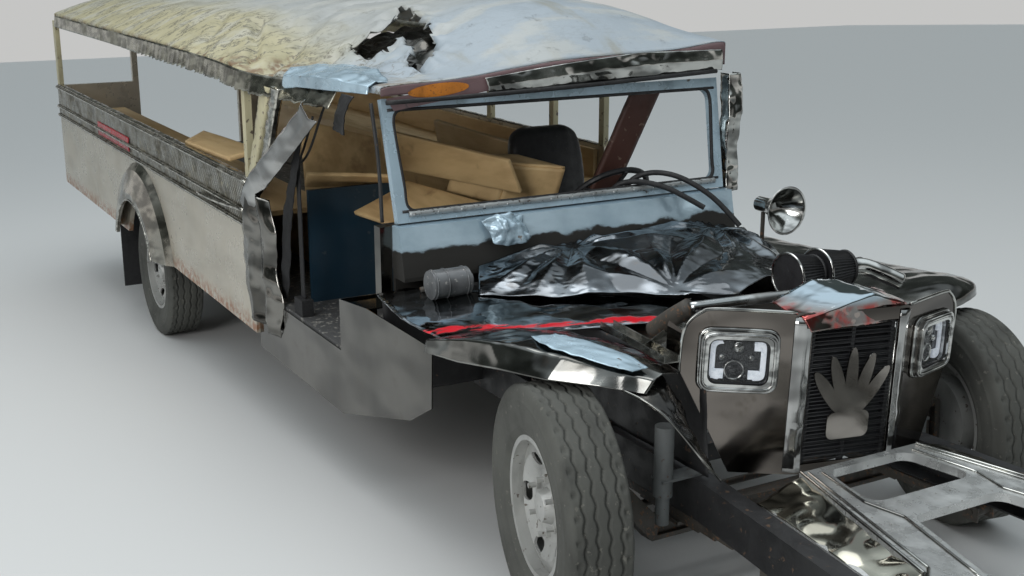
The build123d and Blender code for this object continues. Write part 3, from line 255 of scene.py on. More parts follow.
def crushed(x, y):
    """How far the crash moved the roof's skin at a place, up or down."""
    weak = ease(*WEAK_REAR, x) * ease(*WEAK_FRONT, x) * ease(*WEAK_RIGHT, y)
    across, along = FOLD_COS * x + FOLD_SIN * y, -FOLD_SIN * x + FOLD_COS * y
    moved = weak * (WAVE * ridges(across * WAVES[0], along * WAVES[1]) - WAVE_SINK)
    moved += weak * FINE_WAVE * ridges(across * FINE_WAVES[0], along * FINE_WAVES[1], 3.0)
    for line, reach, deep in TEARS:
        gap = gap_to(x, y, line) / reach
        if gap < TEAR_REACH:
            moved -= deep * math.exp(-gap * gap) * (1 - TEAR_LIP * gap)
    rim = gap_to(x, y, HOLE + HOLE[:1])
    moved += RIM_CURL * ease(RIM_REACH, 0.0, rim) * ridges(x * 9, y * 9, 1.0)
    moved += SWELL * noise.noise((x * 1.7, y * 2.3, 5.0)) + RIPPLE * noise.noise((x * 9, y * 9, 2.0))
    return moved


EAVE, EAVE_RISE, SHOULDER_OF_ARCH = 0.985, 0.024, 0.66


def roof_point(u, v):
    """A point of the roof's skin: u runs forward, v from the right edge to the left one."""
    x = ROOF_ROWS[0][0] + u * (ROOF_ROWS[-1][0] - ROOF_ROWS[0][0])
    right, z_right, z_mid_right, z_crown, z_mid_left, z_left, left = through(ROOF_ROWS, x)
    arch = ((0, -right, z_right), (0.05, -right * EAVE, z_right + EAVE_RISE),
            (0.2, -right * SHOULDER_OF_ARCH, z_mid_right), (0.5, 0, z_crown),
            (0.8, left * SHOULDER_OF_ARCH, z_mid_left), (0.95, left * EAVE, z_left + EAVE_RISE),
            (1, left, z_left))
    y, z = through(arch, v)
    return x, y, z + crushed(x, y) * ease(0.0, 0.04, v)


def grain(tree, scale, detail, stretch=(1, 1, 1), rough=0.55):
    """Noise over the piece's own place, stretched along its axes."""
    place = node(tree, "TexCoord").outputs["Object"]
    place = node(tree, "Mapping", {"Vector": place, "Scale": stretch}).outputs[0]
    sockets = {"Vector": place, "Scale": scale, "Detail": detail, "Roughness": rough}
    return node(tree, "TexNoise", sockets).outputs["Fac"]


def patches(tree, value, low, high, bottom=0.0, top=1.0):
    """Turn a value into patches: bottom below low, top above high."""
    sockets = {"Value": value, "From Min": low, "From Max": high, "To Min": bottom, "To Max": top}
    return node(tree, "MapRange", sockets, interpolation_type="SMOOTHSTEP").outputs[0]


def blend(tree, factor, under, over):
    """Colour under, covered by colour over where factor is 1. Either may be a socket."""
    made = node(tree, "Mix", data_type="RGBA")
    for slot, value in ((0, factor), (6, under), (7, over)):
        if isinstance(value, bpy.types.NodeSocket):
            tree.links.new(value, made.inputs[slot])
        else:
            made.inputs[slot].default_value = value if slot == 0 else (*value, 1)
    return made.outputs[2]


def sums(tree, kind, a, b):
    """One step of reckoning on two values or sockets, such as SUBTRACT."""
    made = node(tree, "Math", operation=kind)
    for slot, value in enumerate((a, b)):
        if isinstance(value, bpy.types.NodeSocket):
            tree.links.new(value, made.inputs[slot])
        else:
            made.inputs[slot].default_value = value
    return made.outputs[0]


def plus(tree, a, b):
    """The sum of two values or sockets."""
    return sums(tree, "ADD", a, b)


def times(tree, a, b):
    """The product of two values or sockets."""
    return sums(tree, "MULTIPLY", a, b)


def relief(tree, shader, height, depth):
    """Raise the surface by height times depth in metres."""
    bump = node(tree, "Bump", {"Height": height, "Distance": depth})
    tree.links.new(bump.outputs[0], shader.inputs["Normal"])


def feed(tree, shader, **sockets):
    """Link node outputs to the shader's inputs; a space in a name is written as _."""
    for name, source in sockets.items():
        tree.links.new(source, shader.inputs[name.replace("_", " ")])


def measured(tree, axis):
    """The piece's place along one axis of the body's own frame, in metres."""
    along = BODY.to_3x3().col[axis]
    place = node(tree, "TexCoord").outputs["Object"]
    dot = node(tree, "VectorMath", operation="DOT_PRODUCT")
    tree.links.new(place, dot.inputs[0])
    dot.inputs[1].default_value = along
    return sums(tree, "SUBTRACT", dot.outputs["Value"], along.dot(BODY.translation))


FADED, GRIMED, MORE_CHIPS = 0.72, 0.4, 0.25


def paint(name, colour, worn, gloss, wear, scale, metal=0.0):
    """Old paint: faded in clouds, scuffed, with grime and small chips down to what is under it."""
    material, tree, shader = finish(name, colour, metal, gloss)
    faded = blend(tree, patches(tree, grain(tree, scale * 0.4, 5), 0.35, 0.7), colour,
                  tuple(c * FADED for c in colour))
    grimy = blend(tree, patches(tree, grain(tree, scale, 8, (1, 1, 0.4)), 0.5, 0.75, 0.0, 0.75), faded,
                  tuple(c * GRIMED for c in colour))
    chips = patches(tree, grain(tree, scale * 5, 10), 0.70 - wear * MORE_CHIPS, 0.74 - wear * MORE_CHIPS)
    feed(tree, shader, Base_Color=blend(tree, chips, grimy, worn),
         Roughness=patches(tree, grain(tree, scale * 2, 4), 0.3, 0.8, gloss, min(gloss + 0.3, 1)))
    relief(tree, shader, sums(tree, "SUBTRACT", grain(tree, scale * 8, 3), chips), 0.0006)
    return material


ROOF_GREY, ROOF_YELLOW, ROOF_BLUE = (0.36, 0.375, 0.365), (0.42, 0.385, 0.24), (0.33, 0.38, 0.42)
ROOF_GRIME, ROOF_RUST, ROOF_STREAK = (0.12, 0.11, 0.085), (0.20, 0.13, 0.07), (0.27, 0.26, 0.20)
ROOF_PALE, ROOF_CREASE_SHADE_AND_DIRT = (0.46, 0.46, 0.42), (0.13, 0.12, 0.09)
# Where each coat begins and where it is full, in the body's metres.
YELLOW_Y, BLUE_X, TORN_X, RUST_Z = (-0.10, -0.50), (-2.1, -1.5), (-4.2, -3.3), (1.52, 1.485)
roof_paint, tree, shader = finish("weathered_roof_paint", ROOF_GREY, metallic=0.0, roughness=0.5)
cloud = grain(tree, 2.2, 6)
right_side = patches(tree, plus(tree, measured(tree, 1), times(tree, cloud, 0.5)), *YELLOW_Y)
front_dome = patches(tree, plus(tree, measured(tree, 0), times(tree, cloud, 0.6)), *BLUE_X)
coat = blend(tree, right_side, ROOF_GREY, ROOF_YELLOW)
coat = blend(tree, front_dome, coat, ROOF_BLUE)
streaks = patches(tree, grain(tree, 4, 9, (0.35, 1.6, 1)), 0.56, 0.74, 0.0, 0.7)
cracks = patches(tree, grain(tree, 9, 12, rough=0.75), 0.60, 0.66, 0.0, 0.85)
torn_part = times(tree, right_side, patches(tree, measured(tree, 0), *TORN_X))
coat = blend(tree, streaks, coat, ROOF_STREAK)
coat = blend(tree, times(tree, cracks, plus(tree, 0.25, torn_part)), coat, ROOF_GRIME)
# Dark lines across the folds, strongest on the yellow right side: partly painted shade in the creases,
# partly brown dirt in cracked paint.
swing = sums(tree, "SUBTRACT", grain(tree, 5.5, 9, (1.7, 0.55, 1), rough=0.68), 0.5)
thread = sums(tree, "ABSOLUTE", swing, 0.0)
creases = times(tree, patches(tree, thread, 0.020, 0.003), plus(tree, 0.12, right_side))
worn_pale = patches(tree, grain(tree, 3.4, 7, (1.6, 0.7, 1)), 0.50, 0.62, 0.0, 0.55)
coat = blend(tree, worn_pale, coat, ROOF_PALE)
coat = blend(tree, creases, coat, ROOF_CREASE_SHADE_AND_DIRT)
rim = patches(tree, plus(tree, measured(tree, 2), times(tree, cloud, 0.05)), *RUST_Z)
coat = blend(tree, times(tree, rim, patches(tree, grain(tree, 16, 8), 0.45, 0.62)), coat, ROOF_RUST)
feed(tree, shader, Base_Color=coat, Roughness=patches(tree, grain(tree, 8, 5), 0.3, 0.8, 0.38, 0.7))
relief(tree, shader, sums(tree, "SUBTRACT", grain(tree, 40, 4), cracks), 0.0012)
skin_points, skin_faces = net(300, 120, roof_point, lambda x, y: not inside(x, y, HOLE))
roof_skin = place_mesh("roof_skin", skin_points, skin_faces, roof_paint, "roof_paint", thick=0.004)
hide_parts("roof_shell")

# Drip valances: thin strips that hang from the roof's edges. The right one is crinkled into
# upright pleats where the roof was shortened, and its front end flares away from the body.
DUST, STAIN = (0.24, 0.22, 0.18), (0.10, 0.085, 0.07)


def stainless(name, colour, dust, wave, rough, dark, cloud_scale):
    """Buckled mirror sheet: darker and lighter stretches, fine rubbing and a thin film of dust."""
    material, tree, shader = finish(name, colour, 1.0, rough)
    cloud = patches(tree, grain(tree, 5, 6), 0.48, 0.72, 0.0, dust)
    rub = grain(tree, 90, 3, (1, 1, 6))
    film = node(tree, "MapRange", {"Value": rub, "To Min": rough, "To Max": rough + 0.10}).outputs[0]
    soiled = plus(tree, film, times(tree, cloud, 0.7))
    bands = patches(tree, grain(tree, cloud_scale, 2, (1, 1, 2.4)), 0.42, 0.60)
    shade = blend(tree, bands, tuple(c * dark for c in colour), colour)
    stain = patches(tree, grain(tree, 12, 8), 0.58, 0.72, 0.0, 0.5)
    shade = blend(tree, stain, shade, STAIN)
    feed(tree, shader, Base_Color=blend(tree, cloud, shade, DUST), Roughness=soiled,
         Metallic=sums(tree, "SUBTRACT", 1.0, times(tree, cloud, 0.75)))
    waves = plus(tree, grain(tree, 2.4, 2, (1, 1, 1.6)), times(tree, grain(tree, 11, 1), 0.12))
    relief(tree, shader, waves, wave)
    return material


def straight(stops, at):
    """A line through stops with a corner at each, each stop a position and its values."""
    for here, there in zip(stops, stops[1:]):
        if at <= there[0]:
            break
    t = (at - here[0]) / (there[0] - here[0])
    return [a + (b - a) * t for a, b in zip(here[1:], there[1:])]


NEAR, FINE_SHARE, FINER = 0.01, 0.4, 2.7


def fold_sheet(name, rows, material, slot, cells, crease, scale, soft=False, thick=0.002, place=BODY):
    """A sheet through rows of points, with creases raised along its own normal; soft rounds its folds."""
    line_through = through if soft else straight

    def on_row(row, v):
        return line_through([(k / (len(row) - 1), *p) for k, p in enumerate(row)], v)

    def at(u, v):
        stops = [(k / (len(rows) - 1), *on_row(row, v)) for k, row in enumerate(rows)]
        return Vector(line_through(stops, u))

    def point(u, v):
        here = at(u, v)
        normal = (at(min(u + NEAR, 1), v) - at(max(u - NEAR, 0), v)).cross(
            at(u, min(v + NEAR, 1)) - at(u, max(v - NEAR, 0)))
        if normal.length > 0:
            normal.normalize()
        lift = ridges(*(here * scale)) + FINE_SHARE * ridges(*(here * scale * FINER))
        return tuple(here + normal * crease * lift)

    points, faces = net(*cells, point)
    return place_mesh(name, points, faces, material, slot, thick=thick, place=place)


SIDES = ((1, "left"), (-1, "right"))
VALANCE, CLEAR, TUCK = 0.072, 0.003, 0.004
PLEATED, FLARED, LEFT_SHARE = (-4.9, -3.6), (-2.6, -1.8), 0.25
PLEATS, FINE_PLEATS, PLEAT_DEEP = 13, 31, 0.009
FLARE, FRONT_FLARE = 0.010, 0.03
valance_metal = stainless("dull_valance", (0.46, 0.45, 0.38), dust=0.6, wave=0.004, rough=0.22, dark=0.5,
                          cloud_scale=14.0)


def valance_point(side):
    """The valance of one side as a function of its place along and down it."""
    def point(u, v):
        x = ROOF_ROWS[1][0] + u * (ROOF_ROWS[7][0] - ROOF_ROWS[1][0])
        row = through(ROOF_ROWS, x)
        half, top = (row[6], row[5]) if side > 0 else (row[0], row[1])
        weak = ease(*PLEATED, x) * (1 if side < 0 else LEFT_SHARE)
        pleat = ridges(x * PLEATS, side * 2.0) + 0.5 * ridges(x * FINE_PLEATS, side * 4.0)
        flare = FLARE * v + weak * v * PLEAT_DEEP * pleat
        flare += FRONT_FLARE * v * ease(*FLARED, x) * (side < 0)
        return x, side * (half + CLEAR + flare), top + TUCK - VALANCE * v * (1 + 0.1 * weak * pleat)
    return point


for side, place in SIDES:
    points, faces = net(420, 8, valance_point(side))
    valance = place_mesh("crinkled_valance_" + place, points, faces, valance_metal, "stainless",
                         thick=0.003)
    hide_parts("roof_valances")

# Gutter corner: a pale blue pressed box that the crash left standing on the roof's front corner.
# Scraped enamel, its outer lip folded down and its front end torn open.
sky_paint = paint("pale_blue_enamel", (0.48, 0.63, 0.73), worn=(0.18, 0.17, 0.16), gloss=0.14, wear=0.18,
                  scale=5, metal=0.3)
GUTTER_ROWS = (
    ((-2.12, -0.70, 1.485), (-2.08, -0.84, 1.478), (-2.00, -0.905, 1.455), (-2.00, -0.91, 1.405)),
    ((-1.93, -0.62, 1.490), (-1.89, -0.76, 1.498), (-1.86, -0.89, 1.470), (-1.86, -0.895, 1.425)),
    ((-1.68, -0.64, 1.500), (-1.64, -0.76, 1.500), (-1.60, -0.86, 1.480), (-1.60, -0.865, 1.435)),
    ((-1.41, -0.70, 1.475), (-1.40, -0.76, 1.485), (-1.38, -0.80, 1.468), (-1.38, -0.802, 1.440)),
)
fold_sheet("gutter_corner", GUTTER_ROWS, sky_paint, "pale_blue", cells=(48, 30), crease=0.004, scale=9.0,
           thick=0.003)

# Windshield frame and cowl: pale blue enamel over sheet, the glass gone and its black rubber
# channel left in the opening. A grey sill strip lies along the foot of the frame.
def round_edges(part, width, segments=2, sharper_than=30):
    """Small rounds along a piece's sharp edges, which catch the light."""
    bevel = part.modifiers.new("eased_edges", "BEVEL")
    bevel.width = width
    bevel.segments = segments
    bevel.limit_method = "ANGLE"
    bevel.angle_limit = math.radians(sharper_than)


def carry(material, *names, edge=0.0015):
    """Give CAD pieces their finish and rounded edges."""
    for name in names:
        part = frame["nodes"][name]
        part.data.materials.clear()
        part.data.materials.append(material)
        round_edges(part, edge, sharper_than=35)


def wrapped(rings, count, capped=True):
    """Faces round a stack of rings of count points each, with or without its two ends."""
    faces = []
    for k in range(rings - 1):
        here, there = k * count, (k + 1) * count
        for n in range(count):
            m = (n + 1) % count
            faces.append((here + n, here + m, there + m, there + n))
    if capped:
        faces += [tuple(range(count))[::-1], tuple((rings - 1) * count + n for n in range(count))]
    return faces


def tube(name, route, radius, material, slot, sides=10, steps=8, place=BODY, closed=False):
    """A round bar or wire through a route of points, rounded at its corners."""
    route = [Vector(p) for p in route]
    if closed:
        route.append(route[0])
    stops = [(k, *p) for k, p in enumerate(route)]
    count = steps * (len(route) - 1)
    line = [Vector(through(stops, k / steps)) for k in range(count + 1)]
    points = []
    side = Vector((0.3, 0.2, 1))
    for k, here in enumerate(line):
        run = line[min(k + 1, count)] - line[max(k - 1, 0)]
        side = (side - run * side.dot(run) / run.length_squared).normalized()
        over = run.normalized().cross(side)
        for n in range(sides):
            a = n / sides * math.tau
            points.append(tuple(here + radius * (math.cos(a) * side + math.sin(a) * over)))
    return place_mesh(name, points, wrapped(count + 1, sides, capped=not closed), material, slot,
                      place=place)


# The windshield's own frame: u to the left, v up the leaning glass, w forward out of it.
SCREEN_FOOT, SCREEN_LEAN = Vector((-1.268, 0, 0.977)), math.radians(-12)
forward, leftward, upward = BODY.to_3x3().col
SCREEN = Matrix.Translation(BODY @ SCREEN_FOOT) @ Matrix.Rotation(SCREEN_LEAN, 4, "Y") @ (
    placed(Vector(), leftward, upward, forward))
OPEN_LOW, OPEN_TOP, OPEN_FOOT, OPEN_HEAD, OPEN_R = 0.703, 0.718, 0.042, 0.413, 0.035
carry(sky_paint, "windshield_frame", edge=0.004)
cowl_enamel, tree, shader = finish("cowl_enamel_dark_below", (0.48, 0.63, 0.73), metallic=0.3, roughness=0.16)
height = plus(tree, measured(tree, 2), times(tree, grain(tree, 7, 7, (1, 1, 1.5)), 0.09))
# Below a ragged line the cowl's enamel turns near black and dull, darker towards its foot.
COWL_LOW_DARK, COWL_DARK_LINE, DULL_LINE = (0.034, 0.032, 0.029), (0.934, 0.922), (0.95, 0.90)
dark_below = patches(tree, height, *COWL_DARK_LINE)
faded = blend(tree, patches(tree, grain(tree, 3, 5), 0.35, 0.7), (0.50, 0.64, 0.73), (0.34, 0.46, 0.54))
feed(tree, shader, Base_Color=blend(tree, dark_below, faded, COWL_LOW_DARK),
     Roughness=patches(tree, height, *DULL_LINE, 0.14, 0.55))
relief(tree, shader, grain(tree, 40, 3), 0.0006)
carry(cowl_enamel, "cowl", edge=0.004)
soft_rubber = paint("black_rubber", (0.018, 0.018, 0.019), worn=(0.07, 0.065, 0.06), gloss=0.5, wear=0.2,
                    scale=20)
CORNER_RUN, CORNER_MID = 0.05, 0.3
channel = []
for side_u, side_v in ((-1, 0), (1, 0), (1, 1), (-1, 1)):
    half = OPEN_TOP if side_v else OPEN_LOW
    level_v = OPEN_HEAD if side_v else OPEN_FOOT
    inward = -1 if side_v else 1
    corner = tuple((side_u * (half - u), level_v + inward * v) for u, v in (
        (OPEN_R + CORNER_RUN, 0), (OPEN_R, 0), (OPEN_R * CORNER_MID, OPEN_R * CORNER_MID),
        (0, OPEN_R), (0, OPEN_R + CORNER_RUN)))
    channel += corner if (side_u > 0) != bool(side_v) else corner[::-1]
tube("windshield_rubber", [(u, v, -0.004) for u, v in channel], 0.007, soft_rubber, "black_rubber", sides=8,
     steps=6, place=SCREEN, closed=True)
dull_zinc = paint("dull_zinc_strip", (0.46, 0.48, 0.48), worn=(0.10, 0.09, 0.08), gloss=0.35, wear=0.45,
                  scale=14, metal=0.5)
SILL_ROWS = [((u, 0.020, 0.006), (u, 0.036, 0.012), (u, 0.043, -0.004), (u, 0.043, -0.030))
             for u in (-0.70, -0.25, 0.25, 0.70)]
fold_sheet("windshield_sill", SILL_ROWS, dull_zinc, "pale_blue", cells=(90, 6), crease=0.0016, scale=30,
           place=SCREEN)
CRUMPLE_ROWS = (
    ((-1.215, -0.43, 0.965), (-1.190, -0.41, 0.925), (-1.165, -0.40, 0.885)),
    ((-1.200, -0.37, 0.992), (-1.150, -0.36, 0.940), (-1.160, -0.34, 0.868)),
    ((-1.210, -0.31, 0.985), (-1.165, -0.29, 0.945), (-1.150, -0.27, 0.880)),
    ((-1.225, -0.25, 0.962), (-1.195, -0.24, 0.925), (-1.180, -0.23, 0.890)),
)
fold_sheet("cowl_crumple", CRUMPLE_ROWS, sky_paint, "pale_blue", cells=(26, 20), crease=0.009, scale=24.0)
SCREWS, SCREW_R, FIRST_SCREW, SCREW_PITCH = 15, 0.005, -0.68, 0.097
for k in range(SCREWS):
    u = FIRST_SCREW + k * SCREW_PITCH
    tube(f"sill_screw_{k}", [(u, 0.028, 0.010), (u, 0.028, 0.015)], SCREW_R, dull_zinc, "pale_blue",
         sides=8, steps=1, place=SCREEN)

# Sign board over the windshield: a dull plum sheet with a blank orange oval on its right end,
# its left part covered by crumpled bright trim. A rubber line runs along its lower edge.
sign_paint = paint("faded_sign", (0.20, 0.125, 0.13), worn=(0.10, 0.08, 0.08), gloss=0.28, wear=0.25,
                   scale=5)
carry(sign_paint, "sign_board")
oval_paint = paint("orange_oval", (0.62, 0.21, 0.02), worn=(0.22, 0.08, 0.02), gloss=0.4, wear=0.35,
                   scale=30)
OVAL_X, OVAL_Y, OVAL_Z, OVAL_SIDES = -1.3325, -0.54, 1.447, 40
OVAL_WIDE, OVAL_TALL, OVAL_LEAN = 0.125, 0.024, 0.055
oval = []
for n in range(OVAL_SIDES):
    wide = OVAL_WIDE * math.cos(n / OVAL_SIDES * math.tau)
    tall = OVAL_TALL * math.sin(n / OVAL_SIDES * math.tau)
    oval.append((OVAL_X, OVAL_Y + wide, OVAL_Z + tall + OVAL_LEAN * wide))
place_mesh("orange_oval", oval, [tuple(range(OVAL_SIDES))], oval_paint, "sign", smooth=False)
bright_trim = stainless("crumpled_bright_trim", (0.60, 0.60, 0.57), dust=0.15, wave=0.003, rough=0.06,
                        dark=0.30, cloud_scale=5.0)
TRIM_ROWS = (
    ((-1.326, -0.35, 1.480), (-1.318, -0.34, 1.448), (-1.322, -0.34, 1.412)),
    ((-1.326, -0.03, 1.515), (-1.315, -0.03, 1.470), (-1.322, -0.03, 1.428)),
    ((-1.326, 0.34, 1.545), (-1.312, 0.34, 1.495), (-1.322, 0.34, 1.446)),
    ((-1.326, 0.755, 1.540), (-1.316, 0.755, 1.498), (-1.322, 0.755, 1.458)),
)
fold_sheet("crumpled_sign_trim", TRIM_ROWS, bright_trim, "stainless", cells=(150, 24), crease=0.0035,
           scale=8.0)

HEADER_START, HEADER_LOW, HEADER_RISE, HEADER_LEAST = 0.02, 1.435, 0.045, 0.01


def header_point(u, v):
    """The plum strip between the roof's front edge and the sign: u across, v down."""
    x, y, z = roof_point(1.0, HEADER_START + (1 - 2 * HEADER_START) * u)
    return x + 0.003, y, z - 0.002 - v * max(z - HEADER_LOW - HEADER_RISE * u, HEADER_LEAST)


points, faces = net(60, 4, header_point)
place_mesh("roof_front_header", points, faces, sign_paint, "sign", thick=0.002)
tube("sign_rubber",
     [(-1.312, -0.76, 1.414), (-1.310, -0.35, 1.420), (-1.312, 0.15, 1.433), (-1.312, 0.72, 1.455)],
     0.009, soft_rubber, "black_rubber")

# Body sides: brushed panels with rust along the lower edge, a stained engine-turned band over
# them between bright rails, and a long red reflector near the right rear wheel.
RUST, RUST_LINE = (0.34, 0.15, 0.07), (0.43, 0.34)
scuffed_panel, tree, shader = finish("scuffed_side_panel", (0.50, 0.46, 0.39), metallic=0.55, roughness=0.3)
height = measured(tree, 2)
low_edge = patches(tree, plus(tree, height, times(tree, grain(tree, 14, 8), 0.10)), *RUST_LINE)
smear = patches(tree, grain(tree, 2.5, 6, (1, 1, 2.5)), 0.40, 0.70)
panel = blend(tree, smear, (0.56, 0.515, 0.43), (0.47, 0.43, 0.355))
scuffs = patches(tree, grain(tree, 22, 10, (1, 1, 0.3)), 0.64, 0.78, 0.0, 0.4)
panel = blend(tree, scuffs, panel, (0.17, 0.14, 0.11))
panel = blend(tree, times(tree, low_edge, patches(tree, grain(tree, 30, 8), 0.38, 0.6)), panel, RUST)
feed(tree, shader, Base_Color=panel, Roughness=patches(tree, grain(tree, 6, 6), 0.3, 0.75, 0.24, 0.40))
relief(tree, shader, plus(tree, grain(tree, 1.6, 2), times(tree, grain(tree, 60, 3), 0.02)), 0.006)
carry(scuffed_panel, "side_walls", "rear_panels")
band_metal, tree, shader = finish("engine_turned_band", (0.30, 0.28, 0.24), metallic=1.0, roughness=0.28)
SWIRLS = 34.0
place = node(tree, "TexCoord").outputs["Object"]
cell = node(tree, "TexVoronoi", {"Vector": place, "Scale": SWIRLS, "Randomness": 0.0})
offset = node(tree, "VectorMath", operation="SUBTRACT")
tree.links.new(place, offset.inputs[0])
tree.links.new(cell.outputs["Position"], offset.inputs[1])
local = node(tree, "SeparateXYZ", {"Vector": offset.outputs[0]})
angle = sums(tree, "ARCTAN2", local.outputs["Z"], local.outputs["X"])
# The bright bow-tie in each swirl, dark at its sides, is a painted highlight of the circular brushing over
# the real engine-turned pattern.
bow_tie_highlight = patches(tree, sums(tree, "SINE", times(tree, angle, 2.0), 0.0), -0.6, 0.9)
plate = blend(tree, bow_tie_highlight, (0.15, 0.14, 0.12), (0.46, 0.44, 0.38))
stains = patches(tree, grain(tree, 9, 10, rough=0.7), 0.47, 0.60, 0.0, 0.85)
plate = blend(tree, stains, plate, (0.10, 0.085, 0.055))
plate = blend(tree, patches(tree, grain(tree, 26, 8), 0.60, 0.70), plate, (0.42, 0.38, 0.27))
feed(tree, shader, Base_Color=plate, Roughness=patches(tree, grain(tree, 12, 6), 0.3, 0.7, 0.18, 0.55))
relief(tree, shader, plus(tree, bow_tie_highlight, grain(tree, 3, 2)), 0.0012)
carry(band_metal, "belt_bands", edge=0.003)
rail_metal = stainless("bright_rail", (0.62, 0.60, 0.54), dust=0.35, wave=0.003, rough=0.12, dark=0.4,
                       cloud_scale=20.0)
SIDE_REAR, SIDE_FRONT, SIDE_Y, RAIL_HEIGHTS = -6.685, -2.43, 0.944, (0.766, 0.828, 0.962)
for side, place in SIDES:
    for n, z in enumerate(RAIL_HEIGHTS):
        route = [(x, side * SIDE_Y, z) for x in (SIDE_REAR, -5.6, -4.5, -3.4, SIDE_FRONT)]
        tube(f"rail_bead_{place}_{n}", route, 0.0065, rail_metal, "stainless", sides=8, steps=20)
    cap = [((x, side * 0.934, 0.957), (x, side * 0.932, 0.981), (x, side * 0.905, 0.981))
           for x in (SIDE_REAR, -4.5, SIDE_FRONT)]
    fold_sheet("belt_cap_" + place, cap, rail_metal, "stainless", cells=(160, 6), crease=0.0012, scale=22.0)
tube("broken_trim", [(-3.17, -0.950, 0.792), (-2.85, -0.952, 0.806), (-2.46, -0.950, 0.834)], 0.009,
     rail_metal, "stainless", sides=8)
red_lens = paint("red_lamp_lens", (0.42, 0.02, 0.03), worn=(0.18, 0.01, 0.02), gloss=0.18, wear=0.15,
                 scale=18)
REFLECTOR_X, REFLECTOR_LOW, REFLECTOR_HIGH = (-5.42, -5.01, -4.60), 0.787, 0.872
REFLECTOR_MID = (REFLECTOR_LOW + REFLECTOR_HIGH) / 2
reflector = [((x, -0.9365, REFLECTOR_HIGH), (x, -0.941, REFLECTOR_MID), (x, -0.9365, REFLECTOR_LOW))
             for x in REFLECTOR_X]
fold_sheet("red_reflector_rear", reflector, red_lens, "red_lens", cells=(30, 8), crease=0.0004, scale=40.0,
           thick=0.001)
carry(red_lens, "tail_lamps", edge=0.004)
dusty_trim = stainless("dusty_arch_metal", (0.48, 0.45, 0.39), dust=0.55, wave=0.006, rough=0.14, dark=0.4,
                       cloud_scale=5.0)
carry(dusty_trim, "arch_flares", edge=0.003)
carry(soft_rubber, "mud_flaps", edge=0.003)
ARCH_X, ARCH_Y, ARCH_Z, ARCH_R = -4.414, 1.001, 0.108, 0.432
for side, place in SIDES:
    lip = [(ARCH_X + ARCH_R * math.cos(a), side * ARCH_Y, ARCH_Z + ARCH_R * math.sin(a))
           for a in (math.radians(d) for d in range(22, 160, 6))]
    tube("arch_lip_" + place, lip, 0.006, rail_metal, "stainless", sides=8, steps=4)

# Sills and the cowl's side panels: grey-brown mirror sheet, scuffed, its dark colour a painted
# reflection of dark ground, folded along the lower edge of the body and screwed to the frame.
# The sill's dark base colour is a painted reflection of dark ground.
sill_sheet_painted_dark = stainless("grey_sill_sheet", (0.15, 0.143, 0.13), dust=0.06, wave=0.005, rough=0.07, dark=0.55,
                       cloud_scale=1.8)
carry(sill_sheet_painted_dark, "lower_sides", edge=0.003)

# Posts of the open sides: cream paint chipped to brown. The one at the right door leans
# backward at its foot, with a silver skin strip beside it.
cream_paint = paint("cream_frame_paint", (0.58, 0.53, 0.34), worn=(0.14, 0.11, 0.08), gloss=0.38, wear=0.4,
                    scale=6)
carry(cream_paint, "roof_frame", edge=0.003)
# Each post: its name, finish and slot; rear x, front x and height at its top and at its foot; y.
LEANING = (
    ("leaning_cream_post", cream_paint, "frame_cream",
     (-2.178, -2.060, 1.405), (-2.405, -2.330, 0.985), -0.935),
    ("leaning_silver_post", rail_metal, "stainless",
     (-2.045, -1.955, 1.410), (-2.205, -2.130, 1.100), -0.938),
)
for name, material, slot, (rear, front, top), (foot_rear, foot_front, foot), y in LEANING:
    middle = ((rear + foot_rear) / 2, (front + foot_front) / 2, (top + foot) / 2)
    rows = [((a, y + 0.020, z), (a, y, z), (b, y - 0.004, z), (b, y + 0.022, z))
            for a, b, z in ((rear, front, top), middle, (foot_rear, foot_front, foot))]
    fold_sheet(name, rows, material, slot, cells=(40, 12), crease=0.002, scale=15.0)

# Torn door skin: stainless sheet ripped off its post. One bright strip leans forward from the belt
# to the roof's corner, a crumpled sheet hangs from its foot, and the roof's lining sags.
mirror_sheet = stainless("buckled_stainless", (0.50, 0.50, 0.49), dust=0.12, wave=0.003, rough=0.06,
                         dark=0.40, cloud_scale=3.0)
STRIP_LINE = ((-2.44, 0.86, 0.050), (-2.31, 0.98, 0.055), (-2.05, 1.12, 0.052), (-1.83, 1.24, 0.050),
              (-1.60, 1.37, 0.050))
strip = [((x - half, -0.940, z + half * 0.7), (x - half * 0.3, -0.968, z + 0.02),
          (x + half * 0.4, -0.955, z - 0.03), (x + half, -0.935, z - half * 0.8))
         for x, z, half in STRIP_LINE]
torn = fold_sheet("torn_strip", strip, mirror_sheet, "stainless", cells=(60, 18), crease=0.004, scale=6.0)
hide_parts("torn_post_skin")
HANG_LINE = ((-2.46, -2.20, 0.95), (-2.52, -2.12, 0.82), (-2.50, -2.15, 0.66), (-2.50, -2.08, 0.52),
             (-2.44, -2.14, 0.36))
hanging = [((a, -0.935, z), (a + (b - a) * 0.3, -0.962, z), (a + (b - a) * 0.55, -0.925, z - 0.01),
            (a + (b - a) * 0.8, -0.955, z - 0.02), (b, -0.915, z - 0.03))
           for a, b, z in HANG_LINE]
dark_sheet = stainless("dark_hanging_sheet", (0.26, 0.25, 0.23), dust=0.25, wave=0.004, rough=0.10,
                       dark=0.4, cloud_scale=3.0)
hang = fold_sheet("hanging_sheet", hanging, dark_sheet, "stainless", cells=(48, 40), crease=0.008,
                  scale=6.0)
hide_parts("torn_post_skin")
LINING_LINE = ((-0.64, 1.440), (-0.50, 1.475), (-0.32, 1.530), (-0.04, 1.590))
lining = [((-2.64, y, z), (-2.20, y, z + 0.015), (-1.90, y, z), (-1.52, y, z - 0.02))
          for y, z in LINING_LINE]
fold_sheet("torn_roof_lining", lining, dark_sheet, "stainless", cells=(40, 50), crease=0.016, scale=8.0)

